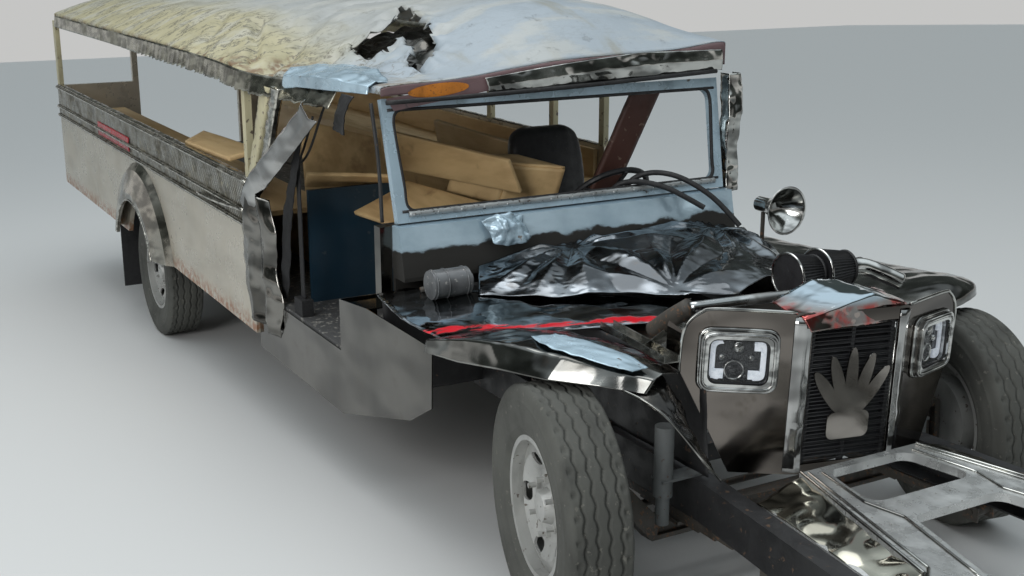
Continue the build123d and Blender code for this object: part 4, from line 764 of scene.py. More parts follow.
# Right windshield post: bare at its foot, with thin steel rods and a bracket that hang from the
# roof's torn corner into the doorway. The seat belt's black strap and reel are behind them.
black_steel = paint("black_chassis_paint", (0.022, 0.022, 0.023), worn=(0.09, 0.055, 0.035), gloss=0.42,
                    wear=0.25, scale=7)
webbing = paint("black_webbing", (0.014, 0.014, 0.015), worn=(0.045, 0.042, 0.04), gloss=0.8, wear=0.2,
                scale=60)
carry(webbing, "seat_belt", edge=0.004)
RODS = (
    ("hanging_rod", [(-1.36, -0.80, 1.41), (-1.33, -0.79, 1.20), (-1.31, -0.79, 0.98)], 0.007),
    ("bent_rod", [(-1.90, -0.82, 1.30), (-1.98, -0.84, 1.15), (-2.13, -0.84, 1.02)], 0.005),
    ("cross_rod", [(-1.72, -0.84, 1.36), (-1.95, -0.85, 1.12), (-2.25, -0.87, 1.08)], 0.005),
)
for name, route, radius in RODS:
    tube(name, route, radius, black_steel, "black_steel")
bracket = [((-1.53, -0.84, 1.43), (-1.42, -0.84, 1.43)), ((-1.55, -0.86, 1.36), (-1.46, -0.86, 1.37)),
           ((-1.60, -0.85, 1.29), (-1.50, -0.85, 1.28))]
fold_sheet("hanging_bracket", bracket, black_steel, "black_steel", cells=(16, 8), crease=0.004, scale=20.0,
           thick=0.006)
strap = [((-1.85, -0.885, 1.30), (-1.81, -0.885, 1.30)), ((-1.96, -0.895, 1.10), (-1.90, -0.890, 1.10)),
         ((-2.10, -0.895, 0.85), (-2.03, -0.880, 0.85)), ((-2.14, -0.895, 0.62), (-2.07, -0.885, 0.62)),
         ((-2.18, -0.890, 0.50), (-2.12, -0.880, 0.50))]
fold_sheet("belt_strap", strap, webbing, "webbing", cells=(60, 6), crease=0.004, scale=12.0, soft=True,
           thick=0.0025)

# Left windshield post: a bright stainless skin folded round the post, buckled along its height
# when the roof came down on it.
POST_LINE = ((-1.30, 0.80, 0.955), (-1.325, 0.812, 1.06), (-1.315, 0.80, 1.16), (-1.30, 0.80, 1.26),
             (-1.33, 0.818, 1.36), (-1.345, 0.825, 1.44))
post_rows = [((x - 0.03, y - 0.036, z), (x + 0.03, y - 0.034, z), (x + 0.034, y, z),
              (x + 0.026, y + 0.032, z), (x - 0.03, y + 0.030, z))
             for x, y, z in POST_LINE]
left_post = fold_sheet("crumpled_left_post", post_rows, bright_trim, "stainless", cells=(60, 24),
                       crease=0.005, scale=10.0)
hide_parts("a_post_left")

# Hood: thin mirror stainless, pushed back against the cowl until it gave way. Sharp creases fan
# out from three points, and the sheet hangs free along its front edge.
# Each stop along the hood's back and front edges: its share from right to left, then x, y and z.
HOOD_BACK = ((0, -1.187, -0.46, 0.800), (0.18, -1.187, -0.33, 0.826), (0.36, -1.187, -0.15, 0.838),
             (0.65, -1.187, 0.20, 0.850), (0.88, -1.187, 0.56, 0.856), (1, -1.187, 0.735, 0.802))
HOOD_FRONT = ((0, -0.94, -0.59, 0.766), (0.18, -0.75, -0.38, 0.772), (0.36, -0.67, -0.17, 0.776),
              (0.5, -0.54, -0.01, 0.782), (0.65, -0.41, 0.14, 0.796), (0.76, -0.48, 0.33, 0.808),
              (0.88, -0.56, 0.56, 0.795), (1, -0.86, 0.66, 0.800))
HOOD_CROWN, FOLD_RISE, CRUMPLE, FINE_CRUMPLE = 0.022, 0.022, 0.0014, 0.0006
# Each star: its place, how many folds go round it, and how far they are turned.
FOLD_STARS = ((-0.58, 0.00, 9, 0.10), (-1.13, -0.08, 12, 0.35), (-1.10, 0.56, 13, 0.05))
FOLD_START, FOLD_END = (0, 0.16), (0.22, 0.62)
hood_metal = stainless("hood_mirror", (0.29, 0.315, 0.34), dust=0.08, wave=0.003, rough=0.09, dark=0.28,
                       cloud_scale=5.0)


def hood_folds(x, y):
    """Height of the creases that fan out from each star."""
    rise = 0
    for star_x, star_y, count, turn in FOLD_STARS:
        away = math.hypot(x - star_x, y - star_y)
        angle = math.atan2(y - star_y, x - star_x)
        swing = angle / math.tau * count + turn + 0.5 * math.sin(2 * angle + 6 * turn)
        rise += abs(swing % 1 - 0.5) * 2 * ease(*FOLD_START, away) * (1 - ease(*FOLD_END, away))
    return FOLD_RISE * rise


def hood_point(u, v):
    """A point of the hood, u from the cowl to its front edge and v from right to left."""
    x, y, z = (b + (f - b) * u for b, f in zip(straight(HOOD_BACK, v), straight(HOOD_FRONT, v)))
    crumple = CRUMPLE * ridges(x * 11, y * 11) + FINE_CRUMPLE * ridges(x * 33, y * 33, 4.0)
    return x, y, z + HOOD_CROWN * math.sin(math.pi * u) + hood_folds(x, y) + crumple


hood_skin = place_mesh("crushed_hood", *net(110, 170, hood_point), hood_metal, "stainless", thick=0.002)
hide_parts("hood")


# Right fender: its top is torn flat into a plate with a red stripe along the near edge. In front
# of it the crumpled lip keeps a patch of sky-blue enamel, and a dark apron hangs below.
def facets(spots, cuts, rough, scale):
    """Points and faces of a crushed sheet: flat between its spots, with finer crumpling all over."""
    corners, _, faces, origin, _, _ = delaunay_2d_cdt([Vector(p[:2]) for p in spots], [], [], 0, 1e-6)
    heights = [spots[o[0]][2] for o in origin]
    points, index, cells = [], {}, []

    def add(x, y, z):
        key = (round(x, 5), round(y, 5))
        if key not in index:
            index[key] = len(points)
            fine = ridges(x * scale, y * scale) - 0.3 + 0.4 * ridges(x * scale * 3, y * scale * 3, 4.0)
            points.append((x, y, z + rough * fine))
        return index[key]

    for face in faces:
        a, b, c = ((corners[i].x, corners[i].y, heights[i]) for i in face)
        lattice = {}
        for i in range(cuts + 1):
            for j in range(cuts + 1 - i):
                k = cuts - i - j
                lattice[i, j] = add(*((a[n] * i + b[n] * j + c[n] * k) / cuts for n in range(3)))
        for i in range(cuts):
            for j in range(cuts - i):
                cells.append((lattice[i, j], lattice[i + 1, j], lattice[i, j + 1]))
                if i + j < cuts - 1:
                    cells.append((lattice[i + 1, j], lattice[i + 1, j + 1], lattice[i, j + 1]))
    return points, cells


PLATE_SPOTS = (
    (-1.18, -0.76, 0.758), (-1.15, -0.89, 0.757), (-0.98, -0.915, 0.760), (-0.85, -0.935, 0.756),
    (-0.70, -0.925, 0.751), (-0.54, -0.905, 0.752), (-0.50, -0.72, 0.757), (-0.47, -0.526, 0.755),
    (-0.43, -0.35, 0.758), (-0.38, -0.174, 0.756), (-0.46, -0.06, 0.757), (-0.56, 0.06, 0.758),
    (-0.70, -0.16, 0.762), (-0.86, -0.40, 0.760), (-1.00, -0.60, 0.764), (-0.76, -0.70, 0.764),
    (-0.64, -0.50, 0.752), (-0.56, -0.28, 0.764), (-0.93, -0.76, 0.752), (-0.66, -0.82, 0.762),
)
plate_metal, tree, shader = finish("fender_plate_mirror", (0.34, 0.36, 0.38), metallic=1.0, roughness=0.05)
bands = patches(tree, grain(tree, 3.0, 3, (2.2, 0.7, 1)), 0.42, 0.60)
shade = blend(tree, bands, (0.09, 0.10, 0.10), (0.46, 0.49, 0.53))
shade = blend(tree, patches(tree, grain(tree, 12, 8), 0.58, 0.72, 0.0, 0.6), shade, (0.10, 0.09, 0.07))
RED_LEAN, RED_REAR, RED_FRONT, RED = 0.33, (-0.345, -0.325), (-0.270, -0.290), (0.80, 0.02, 0.035)
across = sums(tree, "SUBTRACT", measured(tree, 0), times(tree, measured(tree, 1), RED_LEAN))
edge_line = plus(tree, across, times(tree, grain(tree, 7, 5), 0.10))
stripe = times(tree, patches(tree, edge_line, *RED_REAR), patches(tree, edge_line, *RED_FRONT))
flaked = times(tree, stripe, patches(tree, grain(tree, 18, 8, (1.5, 0.6, 1)), 0.38, 0.50))
feed(tree, shader, Base_Color=blend(tree, flaked, shade, RED),
     Metallic=sums(tree, "SUBTRACT", 1.0, times(tree, flaked, 0.8)),
     Roughness=patches(tree, grain(tree, 9, 5), 0.35, 0.8, 0.03, 0.25))
waves = plus(tree, grain(tree, 2.4, 2, (2, 1, 1)), times(tree, grain(tree, 14, 2), 0.1))
relief(tree, shader, waves, 0.005)
points, faces = facets(PLATE_SPOTS, cuts=9, rough=0.0014, scale=16.0)
plate = place_mesh("torn_fender_plate", points, faces, plate_metal, "stainless", thick=0.002)
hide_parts("fender_right")
LIP_ROWS = (
    ((-0.62, -0.955, 0.705), (-0.60, -0.955, 0.752), (-0.58, -0.80, 0.760), (-0.58, -0.66, 0.756)),
    ((-0.45, -0.925, 0.715), (-0.44, -0.900, 0.790), (-0.42, -0.74, 0.800), (-0.42, -0.54, 0.762)),
    ((-0.24, -0.895, 0.748), (-0.24, -0.860, 0.822), (-0.22, -0.70, 0.826), (-0.22, -0.47, 0.770)),
    ((-0.05, -0.840, 0.762), (-0.04, -0.790, 0.826), (-0.04, -0.66, 0.818), (-0.04, -0.48, 0.778)),
    ((0.07, -0.730, 0.760), (0.07, -0.690, 0.800), (0.06, -0.60, 0.806), (0.05, -0.48, 0.776)),
    ((0.16, -0.640, 0.750), (0.16, -0.610, 0.785), (0.14, -0.57, 0.792), (0.12, -0.50, 0.775)),
)
lip_metal = stainless("torn_lip_mirror", (0.29, 0.29, 0.275), dust=0.16, wave=0.003, rough=0.07, dark=0.35,
                      cloud_scale=5.0)
lip = fold_sheet("crumpled_lip", LIP_ROWS, lip_metal, "stainless", cells=(80, 44), crease=0.0022, scale=6.0)
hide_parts("fender_right")
BLUE_ROWS = (
    ((-0.25, -0.775, 0.828), (-0.23, -0.70, 0.832)), ((-0.12, -0.790, 0.836), (-0.10, -0.66, 0.836)),
    ((0.02, -0.745, 0.830), (0.02, -0.61, 0.824)), ((0.12, -0.66, 0.808), (0.11, -0.60, 0.806)),
)
fold_sheet("blue_lip_patch", BLUE_ROWS, sky_paint, "pale_blue", cells=(30, 14), crease=0.0025, scale=14.0,
           soft=True, thick=0.0015)
APRON_ROWS = (
    ((-0.40, -0.66, 0.755), (-0.35, -0.69, 0.752), (-0.33, -0.705, 0.745)),
    ((-0.12, -0.58, 0.775), (-0.02, -0.66, 0.765), (0.06, -0.690, 0.757)),
    ((0.06, -0.54, 0.775), (0.16, -0.60, 0.750), (0.22, -0.635, 0.718)),
    ((0.11, -0.52, 0.740), (0.22, -0.545, 0.680), (0.305, -0.545, 0.585)),
    ((0.11, -0.48, 0.680), (0.20, -0.49, 0.600), (0.290, -0.465, 0.500)),
)
dark_apron = stainless("dark_apron", (0.20, 0.195, 0.19), dust=0.3, wave=0.010, rough=0.10, dark=0.25,
                       cloud_scale=6.0)
fold_sheet("hanging_apron", APRON_ROWS, dark_apron, "stainless", cells=(40, 20), crease=0.005, scale=12.0,
           soft=True)
tube("apron_edge", [row[-1] for row in APRON_ROWS], 0.004, bright_trim, "stainless", sides=8, steps=12)
CHANNEL = ((-0.024, 0.0), (-0.024, 0.022), (-0.021, 0.022), (-0.021, 0.003), (0.021, 0.003), (0.021, 0.022),
           (0.024, 0.022), (0.024, 0.0))
zinc = stainless("loose_zinc_channel", (0.52, 0.51, 0.47), dust=0.5, wave=0.004, rough=0.2, dark=0.5,
                 cloud_scale=14.0)
BARS = (
    ("near", (-0.32, -0.455, 0.792), (0.105, -0.515, 0.806)),
    ("far", (-0.20, -0.225, 0.800), (-0.02, -0.500, 0.798)),
)
for name, start, end in BARS:
    start, end = Vector(start), Vector(end)
    over = (end - start).cross(Vector((0, 0, 1))).normalized()
    ends = [tuple(at + over * a + Vector((0, 0, b))) for at in (start, end) for a, b in CHANNEL]
    place_mesh("loose_channel_" + name, ends, wrapped(2, len(CHANNEL)), zinc, "stainless", smooth=False)

# Left fender: one pressed skin of dusty mirror stainless, still in its form, that runs from the
# cowl to the nose and rolls down over the wheel at its outer edge.
LEFT_ROWS = (
    ((-1.18, 0.768, 0.762), (-1.18, 0.800, 0.768), (-1.18, 0.890, 0.764), (-1.18, 0.925, 0.754)),
    ((-0.50, 0.545, 0.773), (-0.50, 0.800, 0.792), (-0.50, 0.950, 0.782), (-0.50, 0.970, 0.735)),
    ((-0.10, 0.430, 0.793), (-0.10, 0.760, 0.837), (-0.10, 0.930, 0.812), (-0.10, 0.950, 0.775)),
    ((0.04, 0.400, 0.788), (0.04, 0.520, 0.802), (0.04, 0.640, 0.792), (0.04, 0.670, 0.770)),
)
left_fender = fold_sheet("left_fender_skin", LEFT_ROWS, lip_metal, "stainless", cells=(60, 40),
                         crease=0.003, scale=7.0, soft=True)
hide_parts("fender_left")

# Nose: V-shaped stainless shell, dark and mirror-bright, with rolled edges; its dark brown colour is
# a painted reflection of dark ground. Its folded cap is pushed up over the louvres and carries painted
# red and sky reflections. The fan ornament and fine louvre wires sit in its opening.
NOSE_AT, NOSE_YAW, NOSE_ROLL = Vector((0.136, 0, 0)), math.radians(-7.0), math.radians(-2.8)
NOSE_TOP, NOSE_LOW, NOSE_DEPTH = 0.935, 0.438, 0.150
PANEL_HALF, RIDGE_HALF, MESH_HALF = 0.495, 0.200, 0.152
LAMP_Y, LAMP_Z = 0.345, 0.785
NOSE = Matrix.Translation(BODY @ NOSE_AT) @ Matrix.Rotation(NOSE_ROLL, 4, "X") @ (
    Matrix.Rotation(NOSE_YAW, 4, "Z") @ Matrix.Rotation(RAKE, 4, "Y"))
# The shell's dark brown base colour is a painted reflection of dark ground.
nose_metal_painted_dark = stainless("nose_mirror", (0.22, 0.195, 0.175), dust=0.08, wave=0.004, rough=0.05, dark=0.35,
                       cloud_scale=1.9)
carry(nose_metal_painted_dark, "grille_shell", edge=0.002)
carry(stainless("ornament_mirror", (0.36, 0.33, 0.30), dust=0.10, wave=0.006, rough=0.08, dark=0.6,
                cloud_scale=4.0), "grille_ornament", edge=0.0015)
dark_plastic = paint("black_plastic", (0.020, 0.020, 0.022), worn=(0.055, 0.05, 0.045), gloss=0.35,
                     wear=0.1, scale=16)
carry(dark_plastic, "grille_louvres")
WIRES, WIRE_R, FIRST_WIRE, WIRE_PITCH, WIRE_IN = 38, 0.0014, 0.040, 0.0115, 0.004
for n in range(WIRES):
    z = NOSE_LOW + FIRST_WIRE + n * WIRE_PITCH
    wire = [(NOSE_DEPTH - WIRE_IN, y, z) for y in (-MESH_HALF + WIRE_IN, MESH_HALF - WIRE_IN)]
    tube(f"louvre_wire_{n}", wire, WIRE_R, dark_plastic, "black_plastic", sides=6, steps=1, place=NOSE)
EDGE_R, CORNER_R, EDGE_BACK = 0.0055, 0.090, -0.004
COLUMN_HEIGHTS = (NOSE_LOW + 0.01, 0.56, 0.60, 0.605, 0.72, NOSE_TOP - 0.012)
PANEL_DEEP, PANEL_WIDE = NOSE_DEPTH - 0.015, PANEL_HALF - RIDGE_HALF
for side, place in SIDES[::-1]:
    ridge = [(NOSE_DEPTH - 0.006, side * (MESH_HALF + 0.001), z)
             for z in (NOSE_TOP - 0.01, NOSE_LOW + 0.02)]
    tube("opening_edge_" + place, ridge, 0.004, bright_trim, "stainless", sides=8, steps=1, place=NOSE)
    column = [((NOSE_DEPTH + 0.002, side * (MESH_HALF + 0.004), z),
               (NOSE_DEPTH + 0.005, side * (MESH_HALF + 0.024), z),
               (NOSE_DEPTH - 0.008, side * (RIDGE_HALF - 0.004), z),
               (NOSE_DEPTH - 0.016, side * (RIDGE_HALF + 0.004), z))
              for z in COLUMN_HEIGHTS]
    fold_sheet("ridge_column_" + place, column, mirror_sheet, "stainless", cells=(40, 16), crease=0.0015,
               scale=12.0, place=NOSE)
    top_z = NOSE_TOP + 0.001
    rolled = [(NOSE_DEPTH - 0.012, side * RIDGE_HALF, top_z),
              (0.041, side * (PANEL_HALF - CORNER_R), top_z)]
    for a in (math.radians(d) for d in (30, 60, 90)):
        y = PANEL_HALF - CORNER_R + CORNER_R * math.sin(a)
        rolled.append(((PANEL_HALF - y) / PANEL_WIDE * PANEL_DEEP, side * y,
                       top_z - CORNER_R + CORNER_R * math.cos(a)))
    rolled += [(EDGE_BACK, side * (PANEL_HALF + 0.001), z) for z in (LAMP_Z, LAMP_Z - 0.045)]
    tube("rolled_edge_" + place, rolled, EDGE_R, bright_trim, "stainless", sides=8, steps=6, place=NOSE)
CAP_ROWS = (
    ((0.10, -0.150, 0.936), (0.10, -0.07, 0.962), (0.10, 0.00, 0.985), (0.10, 0.09, 0.975),
     (0.10, 0.27, 0.925)),
    ((0.200, -0.170, 0.934), (0.205, -0.09, 0.954), (0.210, 0.00, 0.975), (0.215, 0.09, 0.972),
     (0.200, 0.26, 0.920)),
    ((0.268, -0.170, 0.930), (0.276, -0.09, 0.945), (0.280, 0.00, 0.962), (0.280, 0.08, 0.974),
     (0.262, 0.24, 0.918)),
    ((0.288, -0.160, 0.893), (0.290, -0.09, 0.892), (0.291, 0.00, 0.888), (0.290, 0.08, 0.884),
     (0.284, 0.225, 0.872)),
)
cap_metal, tree, shader = finish("nose_cap_mirror_painted_reflections", (0.32, 0.29, 0.27), metallic=1.0, roughness=0.06)
# Painted reflections on the cap's mirror steel: a red reflection on its lower faces and a pale-blue sky
# reflection on its top, over random darker and lighter steel.
CAP_RED_REFLECTION_BAND, CAP_SKY_REFLECTION_BAND = (0.955, 0.935), (0.940, 0.965)
red_reflection = times(tree, patches(tree, measured(tree, 2), *CAP_RED_REFLECTION_BAND),
                 patches(tree, grain(tree, 16, 6), 0.42, 0.60))
shade = blend(tree, patches(tree, grain(tree, 3, 3), 0.42, 0.6), (0.16, 0.145, 0.135), (0.38, 0.35, 0.33))
shade = blend(tree, patches(tree, measured(tree, 2), *CAP_SKY_REFLECTION_BAND), shade, (0.55, 0.66, 0.74))
feed(tree, shader, Base_Color=blend(tree, times(tree, red_reflection, 0.8), shade, (0.55, 0.06, 0.05)))
relief(tree, shader, grain(tree, 4, 2), 0.0015)
fold_sheet("folded_nose_cap", CAP_ROWS, cap_metal, "stainless", cells=(30, 48), crease=0.0018, scale=10.0,
           thick=0.003)
pale_bar = stainless("pale_cross_bar", (0.62, 0.64, 0.64), dust=0.3, wave=0.004, rough=0.16, dark=0.6,
                     cloud_scale=9.0)
tube("bent_cross_bar",
     [(-0.06, -0.33, 0.905), (-0.02, -0.15, 0.912), (-0.02, 0.02, 0.905), (-0.06, 0.21, 0.885)], 0.017,
     pale_bar, "stainless")
oily_iron = paint("oily_cast_iron", (0.070, 0.062, 0.052), worn=(0.16, 0.085, 0.045), gloss=0.45, wear=0.45,
                  scale=14)
tube("torn_duct", [(-0.20, -0.36, 0.800), (-0.12, -0.35, 0.86), (-0.06, -0.33, 0.905)], 0.030, oily_iron,
     "bare_iron", sides=16)

# Headlamps: a moulded black body in each opening with white C-shaped light guides, two round
# projectors and a thin clear cover. A double chrome ring is screwed round it.
chrome = stainless("bright_chrome", (0.70, 0.70, 0.68), dust=0.10, wave=0.002, rough=0.06, dark=0.35,
                   cloud_scale=12.0)
carry(chrome, "headlamp_bezels", edge=0.007)
PANEL_TURN = math.atan2(PANEL_DEEP, PANEL_WIDE)
LAMP_OUT = PANEL_DEEP * (PANEL_HALF - LAMP_Y) / PANEL_WIDE
LENS_U, LENS_V, BOXINESS, PROJECTOR_SIDES = 0.088, 0.067, 0.28, 40
lamp_black, tree, shader = finish("lamp_black", (0.010, 0.010, 0.012), metallic=0.0, roughness=0.12)
feed(tree, shader, Roughness=patches(tree, grain(tree, 30, 4), 0.4, 0.7, 0.08, 0.25))
GUIDE_WHITE, GUIDE_SHADE = (0.82, 0.85, 0.88), (0.55, 0.60, 0.64)
guide_white, tree, shader = finish("white_light_guide", GUIDE_WHITE, metallic=0.0, roughness=0.25)
shader.inputs["Emission Color"].default_value = (0.8, 0.87, 1, 1)
shader.inputs["Emission Strength"].default_value = 0.25
feed(tree, shader,
     Base_Color=blend(tree, patches(tree, grain(tree, 60, 4), 0.45, 0.7), GUIDE_WHITE, GUIDE_SHADE))
clear_cover, tree, shader = finish("clear_cover", (0.30, 0.32, 0.33), metallic=0.0, roughness=0.02)
shader.inputs["Alpha"].default_value = 0.05
feed(tree, shader, Roughness=patches(tree, grain(tree, 50, 6), 0.5, 0.8, 0.01, 0.12))


def rounded(u, v, degrees):
    """A point of a rounded rectangle's outline with half sides u and v."""
    c, s = math.cos(math.radians(degrees)), math.sin(math.radians(degrees))
    return u * math.copysign(abs(c) ** BOXINESS, c), v * math.copysign(abs(s) ** BOXINESS, s)


def ring(u, v, step=5):
    """The outline of a rounded rectangle, a point at every step of degrees."""
    return [rounded(u, v, d) for d in range(0, 360, step)]


def plate_piece(name, outline, low, high, material, slot, place):
    """A flat piece from an outline of (u, v) points, from one height to another."""
    points = [(u, v, w) for w in (low, high) for u, v in outline]
    made = place_mesh(name, points, wrapped(2, len(outline)), material, slot, place=place, smooth=False)
    round_edges(made, 0.0012)
    return made


def turned_piece(name, line, centre, material, slot, place):
    """A round piece turned about an axis of the lamp's, from a line of (radius, height)."""
    u0, v0 = centre
    turns = [n / PROJECTOR_SIDES * math.tau for n in range(PROJECTOR_SIDES)]
    points = [(u0 + r * math.cos(a), v0 + r * math.sin(a), w) for r, w in line for a in turns]
    place_mesh(name, points, wrapped(len(line), PROJECTOR_SIDES, capped=False), material, slot, place=place)


GUIDE_ARCS = (("outer", 100, 262), ("inner", -82, 80))
GUIDE_OUT, GUIDE_IN, GUIDE_STEP = (0.082, 0.061), (0.066, 0.049), 6
# Each block of the light guide: its name, u from and to, v from and to.
GUIDE_BLOCKS = (("low_left", -0.076, -0.040, -0.057, -0.028), ("low_right", 0.032, 0.064, -0.057, -0.030),
                ("high_right", 0.046, 0.074, 0.030, 0.056))
TOP_AT, LOW_AT = (0.0, 0.038), (-0.010, -0.030)
TOP_LINE = ((0.0165, -0.008), (0.0165, 0.000), (0.0135, 0.004), (0.010, 0.006), (0.0, 0.008))
LOW_LINE = ((0.029, -0.008), (0.029, -0.001), (0.026, 0.001), (0.0255, -0.002), (0.018, 0.003),
            (0.009, 0.006), (0.0, 0.007))
LOW_RING = ((0.029, -0.008), (0.030, 0.001), (0.027, 0.003), (0.025, -0.001))
SMALL_LINE = ((0.010, -0.008), (0.009, -0.003), (0.004, 0.0), (0.0, 0.001))
# Each ring: its name, half sides, height, thickness, finish, slot and sides of its section.
LAMP_RINGS = (
    ("lamp_ring_", LENS_U - 0.0015, LENS_V - 0.0015, 0.014, 0.0035, lamp_black, "black_plastic", 8),
    ("bezel_ring_", 0.103, 0.082, 0.024, 0.005, chrome, "stainless", 10),
    ("bezel_foot_", 0.114, 0.093, 0.004, 0.006, chrome, "stainless", 10),
)


for side, place in SIDES:
    nose_turn = NOSE.to_3x3()
    upward = nose_turn.col[2].normalized()
    normal = (Matrix.Rotation(side * PANEL_TURN, 3, upward) @ nose_turn.col[0]).normalized()
    LAMP = placed(NOSE @ Vector((LAMP_OUT, side * LAMP_Y, LAMP_Z)), upward.cross(normal), upward, normal)
    body = plate_piece("lamp_body_" + place, ring(LENS_U - 0.001, LENS_V - 0.001), -0.038, -0.008,
                       lamp_black, "lens", LAMP)
    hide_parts("headlamps")
    cover = plate_piece("lamp_cover_" + place, ring(LENS_U - 0.002, LENS_V - 0.002), 0.0105, 0.0125,
                        clear_cover, "lens", LAMP)
    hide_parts("headlamps")
    for name, half_u, half_v, w, radius, material, slot, sides in LAMP_RINGS:
        tube(name + place, [(u, v, w) for u, v in ring(half_u, half_v, step=15)], radius, material, slot,
             sides=sides, steps=3, place=LAMP, closed=True)
    for name, start, end in GUIDE_ARCS:
        band = [rounded(*GUIDE_OUT, d) for d in range(start, end, GUIDE_STEP)]
        band += [rounded(*GUIDE_IN, d) for d in range(end - 4, start - 4, -GUIDE_STEP)]
        plate_piece(f"light_guide_{name}_{place}", band, -0.006, 0.002, guide_white, "lens", LAMP)
    for name, u0, u1, v0, v1 in GUIDE_BLOCKS:
        plate_piece(f"guide_block_{name}_{place}", [(u0, v0), (u1, v0), (u1, v1), (u0, v1)], -0.005, 0.003,
                    guide_white, "lens", LAMP)
    turned_piece("top_projector_" + place, TOP_LINE, TOP_AT, chrome, "lens", LAMP)
    turned_piece("low_projector_" + place, LOW_LINE, LOW_AT, lamp_black, "lens", LAMP)
    turned_piece("projector_ring_" + place, LOW_RING, LOW_AT, chrome, "lens", LAMP)
    for n, u in enumerate((-0.046, 0.040)):
        turned_piece(f"side_reflector_{n}_{place}", SMALL_LINE, (u, 0.006), chrome, "lens", LAMP)

# Front bumper: a stainless deck folded over box edges and bolted to the frame's horns, with
# bright beads round its two openings. The side plates are crumpled by the crash.
deck_metal = paint("bumper_deck_steel", (0.62, 0.63, 0.62), worn=(0.28, 0.26, 0.23), gloss=0.20, wear=0.12,
                   scale=9, metal=0.65)
carry(deck_metal, "front_bumper", edge=0.004)
DECK_TOP = 0.5015
EDGE_LINES = (
    ("outer", (0.356, 0.228), (0.970, 0.381), (1.080, 0.516), (1.126, 0.632)),
    ("groove", (0.370, 0.212), (0.955, 0.352), (1.062, 0.480), (1.105, 0.560)),
    ("inner", (0.390, 0.178), (0.600, 0.215), (0.720, 0.190), (1.075, 0.285)),
)
BEAD_SHARES = (0.05, 0.5, 0.95)
for name, *line in EDGE_LINES:
    for side, place in SIDES:
        route = [(x, side * y, DECK_TOP) for x, y in line]
        bead = [route[0]]
        for here, there in zip(route, route[1:]):
            bead += [tuple(a + (b - a) * t for a, b in zip(here, there)) for t in BEAD_SHARES]
        tube(f"deck_bead_{name}_{place}", bead, 0.0048, bright_trim, "stainless", sides=8, steps=3)
side_metal = stainless("bumper_side_mirror", (0.46, 0.45, 0.38), dust=0.10, wave=0.003, rough=0.05,
                       dark=0.40, cloud_scale=5.0)
# Each station of a side plate: x, then y at its upper and at its lower edge.
PLATE_STATIONS = ((0.362, 0.228, 0.392), (0.52, 0.262, 0.405), (0.70, 0.300, 0.425), (0.86, 0.348, 0.446),
                  (0.97, 0.386, 0.470))
for side, place in SIDES:
    rows = []
    for x, high, low in PLATE_STATIONS:
        rows.append([(x, side * high, 0.497), (x, side * (high * 0.6 + low * 0.4), 0.480),
                     (x, side * (high * 0.25 + low * 0.75), 0.462), (x, side * low, 0.446)])
    fold_sheet("bumper_side_plate_" + place, rows, side_metal, "stainless", cells=(60, 26), crease=0.006,
               scale=4.5, soft=True)
tube("bumper_bolt", [(1.02, -0.33, 0.455), (1.02, -0.33, 0.475)], 0.022, oily_iron, "bare_iron", sides=16,
     steps=1)

# Intake: two pleated paper cone filters in black, each with a chrome ring at its wide end, clamped
# on one chrome pipe. A grey pressed steel canister with three bands stands by the cowl.
carry(dark_plastic, "air_filters")
FILTER_X, FILTER_Z, FILTER_WIDE, FILTER_NARROW = -0.170, 0.915, 0.0745, 0.0525
PLEAT_POINTS, FILTER_RINGS, PLEAT_OUT, PLEAT_IN = 88, 12, 0.004, -0.001


def hoop(x, y, z, radius):
    """A route round an axle that runs from side to side."""
    return [(x + radius * math.cos(math.radians(d)), y, z + radius * math.sin(math.radians(d)))
            for d in range(0, 360, 20)]


for name, start, end in (("rear", 0.150, 0.262), ("front", 0.276, 0.400)):
    points = []
    for k in range(FILTER_RINGS + 1):
        y = start + (end - start) * k / FILTER_RINGS
        radius = FILTER_WIDE + (FILTER_NARROW - FILTER_WIDE) * k / FILTER_RINGS
        for n in range(PLEAT_POINTS):
            a = n / PLEAT_POINTS * math.tau
            out = radius + (PLEAT_OUT if n % 2 else PLEAT_IN)
            points.append((FILTER_X + out * math.cos(a), y, FILTER_Z + out * math.sin(a)))
    place_mesh("filter_pleats_" + name, points, wrapped(FILTER_RINGS + 1, PLEAT_POINTS, capped=False),
               dark_plastic, "black_plastic", smooth=False)
    for label, y, radius, material in (("wide", start, FILTER_WIDE + 0.002, chrome),
                                       ("narrow", end, FILTER_NARROW + 0.003, soft_rubber)):
        tube(f"filter_ring_{label}_{name}", hoop(FILTER_X, y, FILTER_Z, radius), 0.005, material,
             "stainless", sides=8, steps=3, closed=True)
PIPE_LINE = ((-0.17, 0.395, 0.915), (-0.16, 0.47, 0.912), (-0.13, 0.53, 0.888), (-0.10, 0.59, 0.857))
tube("intake_pipe", PIPE_LINE, 0.0285, chrome, "stainless", sides=20, steps=10)
canister_paint = paint("grey_canister", (0.16, 0.165, 0.17), worn=(0.36, 0.35, 0.33), gloss=0.3, wear=0.3,
                       scale=14, metal=0.4)
carry(canister_paint, "air_canister", edge=0.010)
CAN_X, CAN_Z, CAN_R = -1.010, 0.806, 0.0525
for n, y in enumerate((-0.735, -0.690, -0.615)):
    tube(f"canister_band_{n}", hoop(CAN_X, y, CAN_Z, CAN_R), 0.003, canister_paint, "canister_grey",
         sides=6, steps=3, closed=True)
tube("canister_pipe", [(-1.03, -0.60, 0.80), (-1.08, -0.64, 0.775), (-1.10, -0.74, 0.768)], 0.010,
     oily_iron, "bare_iron")

# Chrome horn: a spun brass bell, chrome plated, with a rolled mouth and a throat that narrows to
# its back. A rusty bar carries it from the left fender.
horn_chrome = stainless("horn_chrome", (0.68, 0.68, 0.66), dust=0.12, wave=0.002, rough=0.07, dark=0.4,
                        cloud_scale=10.0)
HORN = Vector((-1.010, 0.800, 0.930))
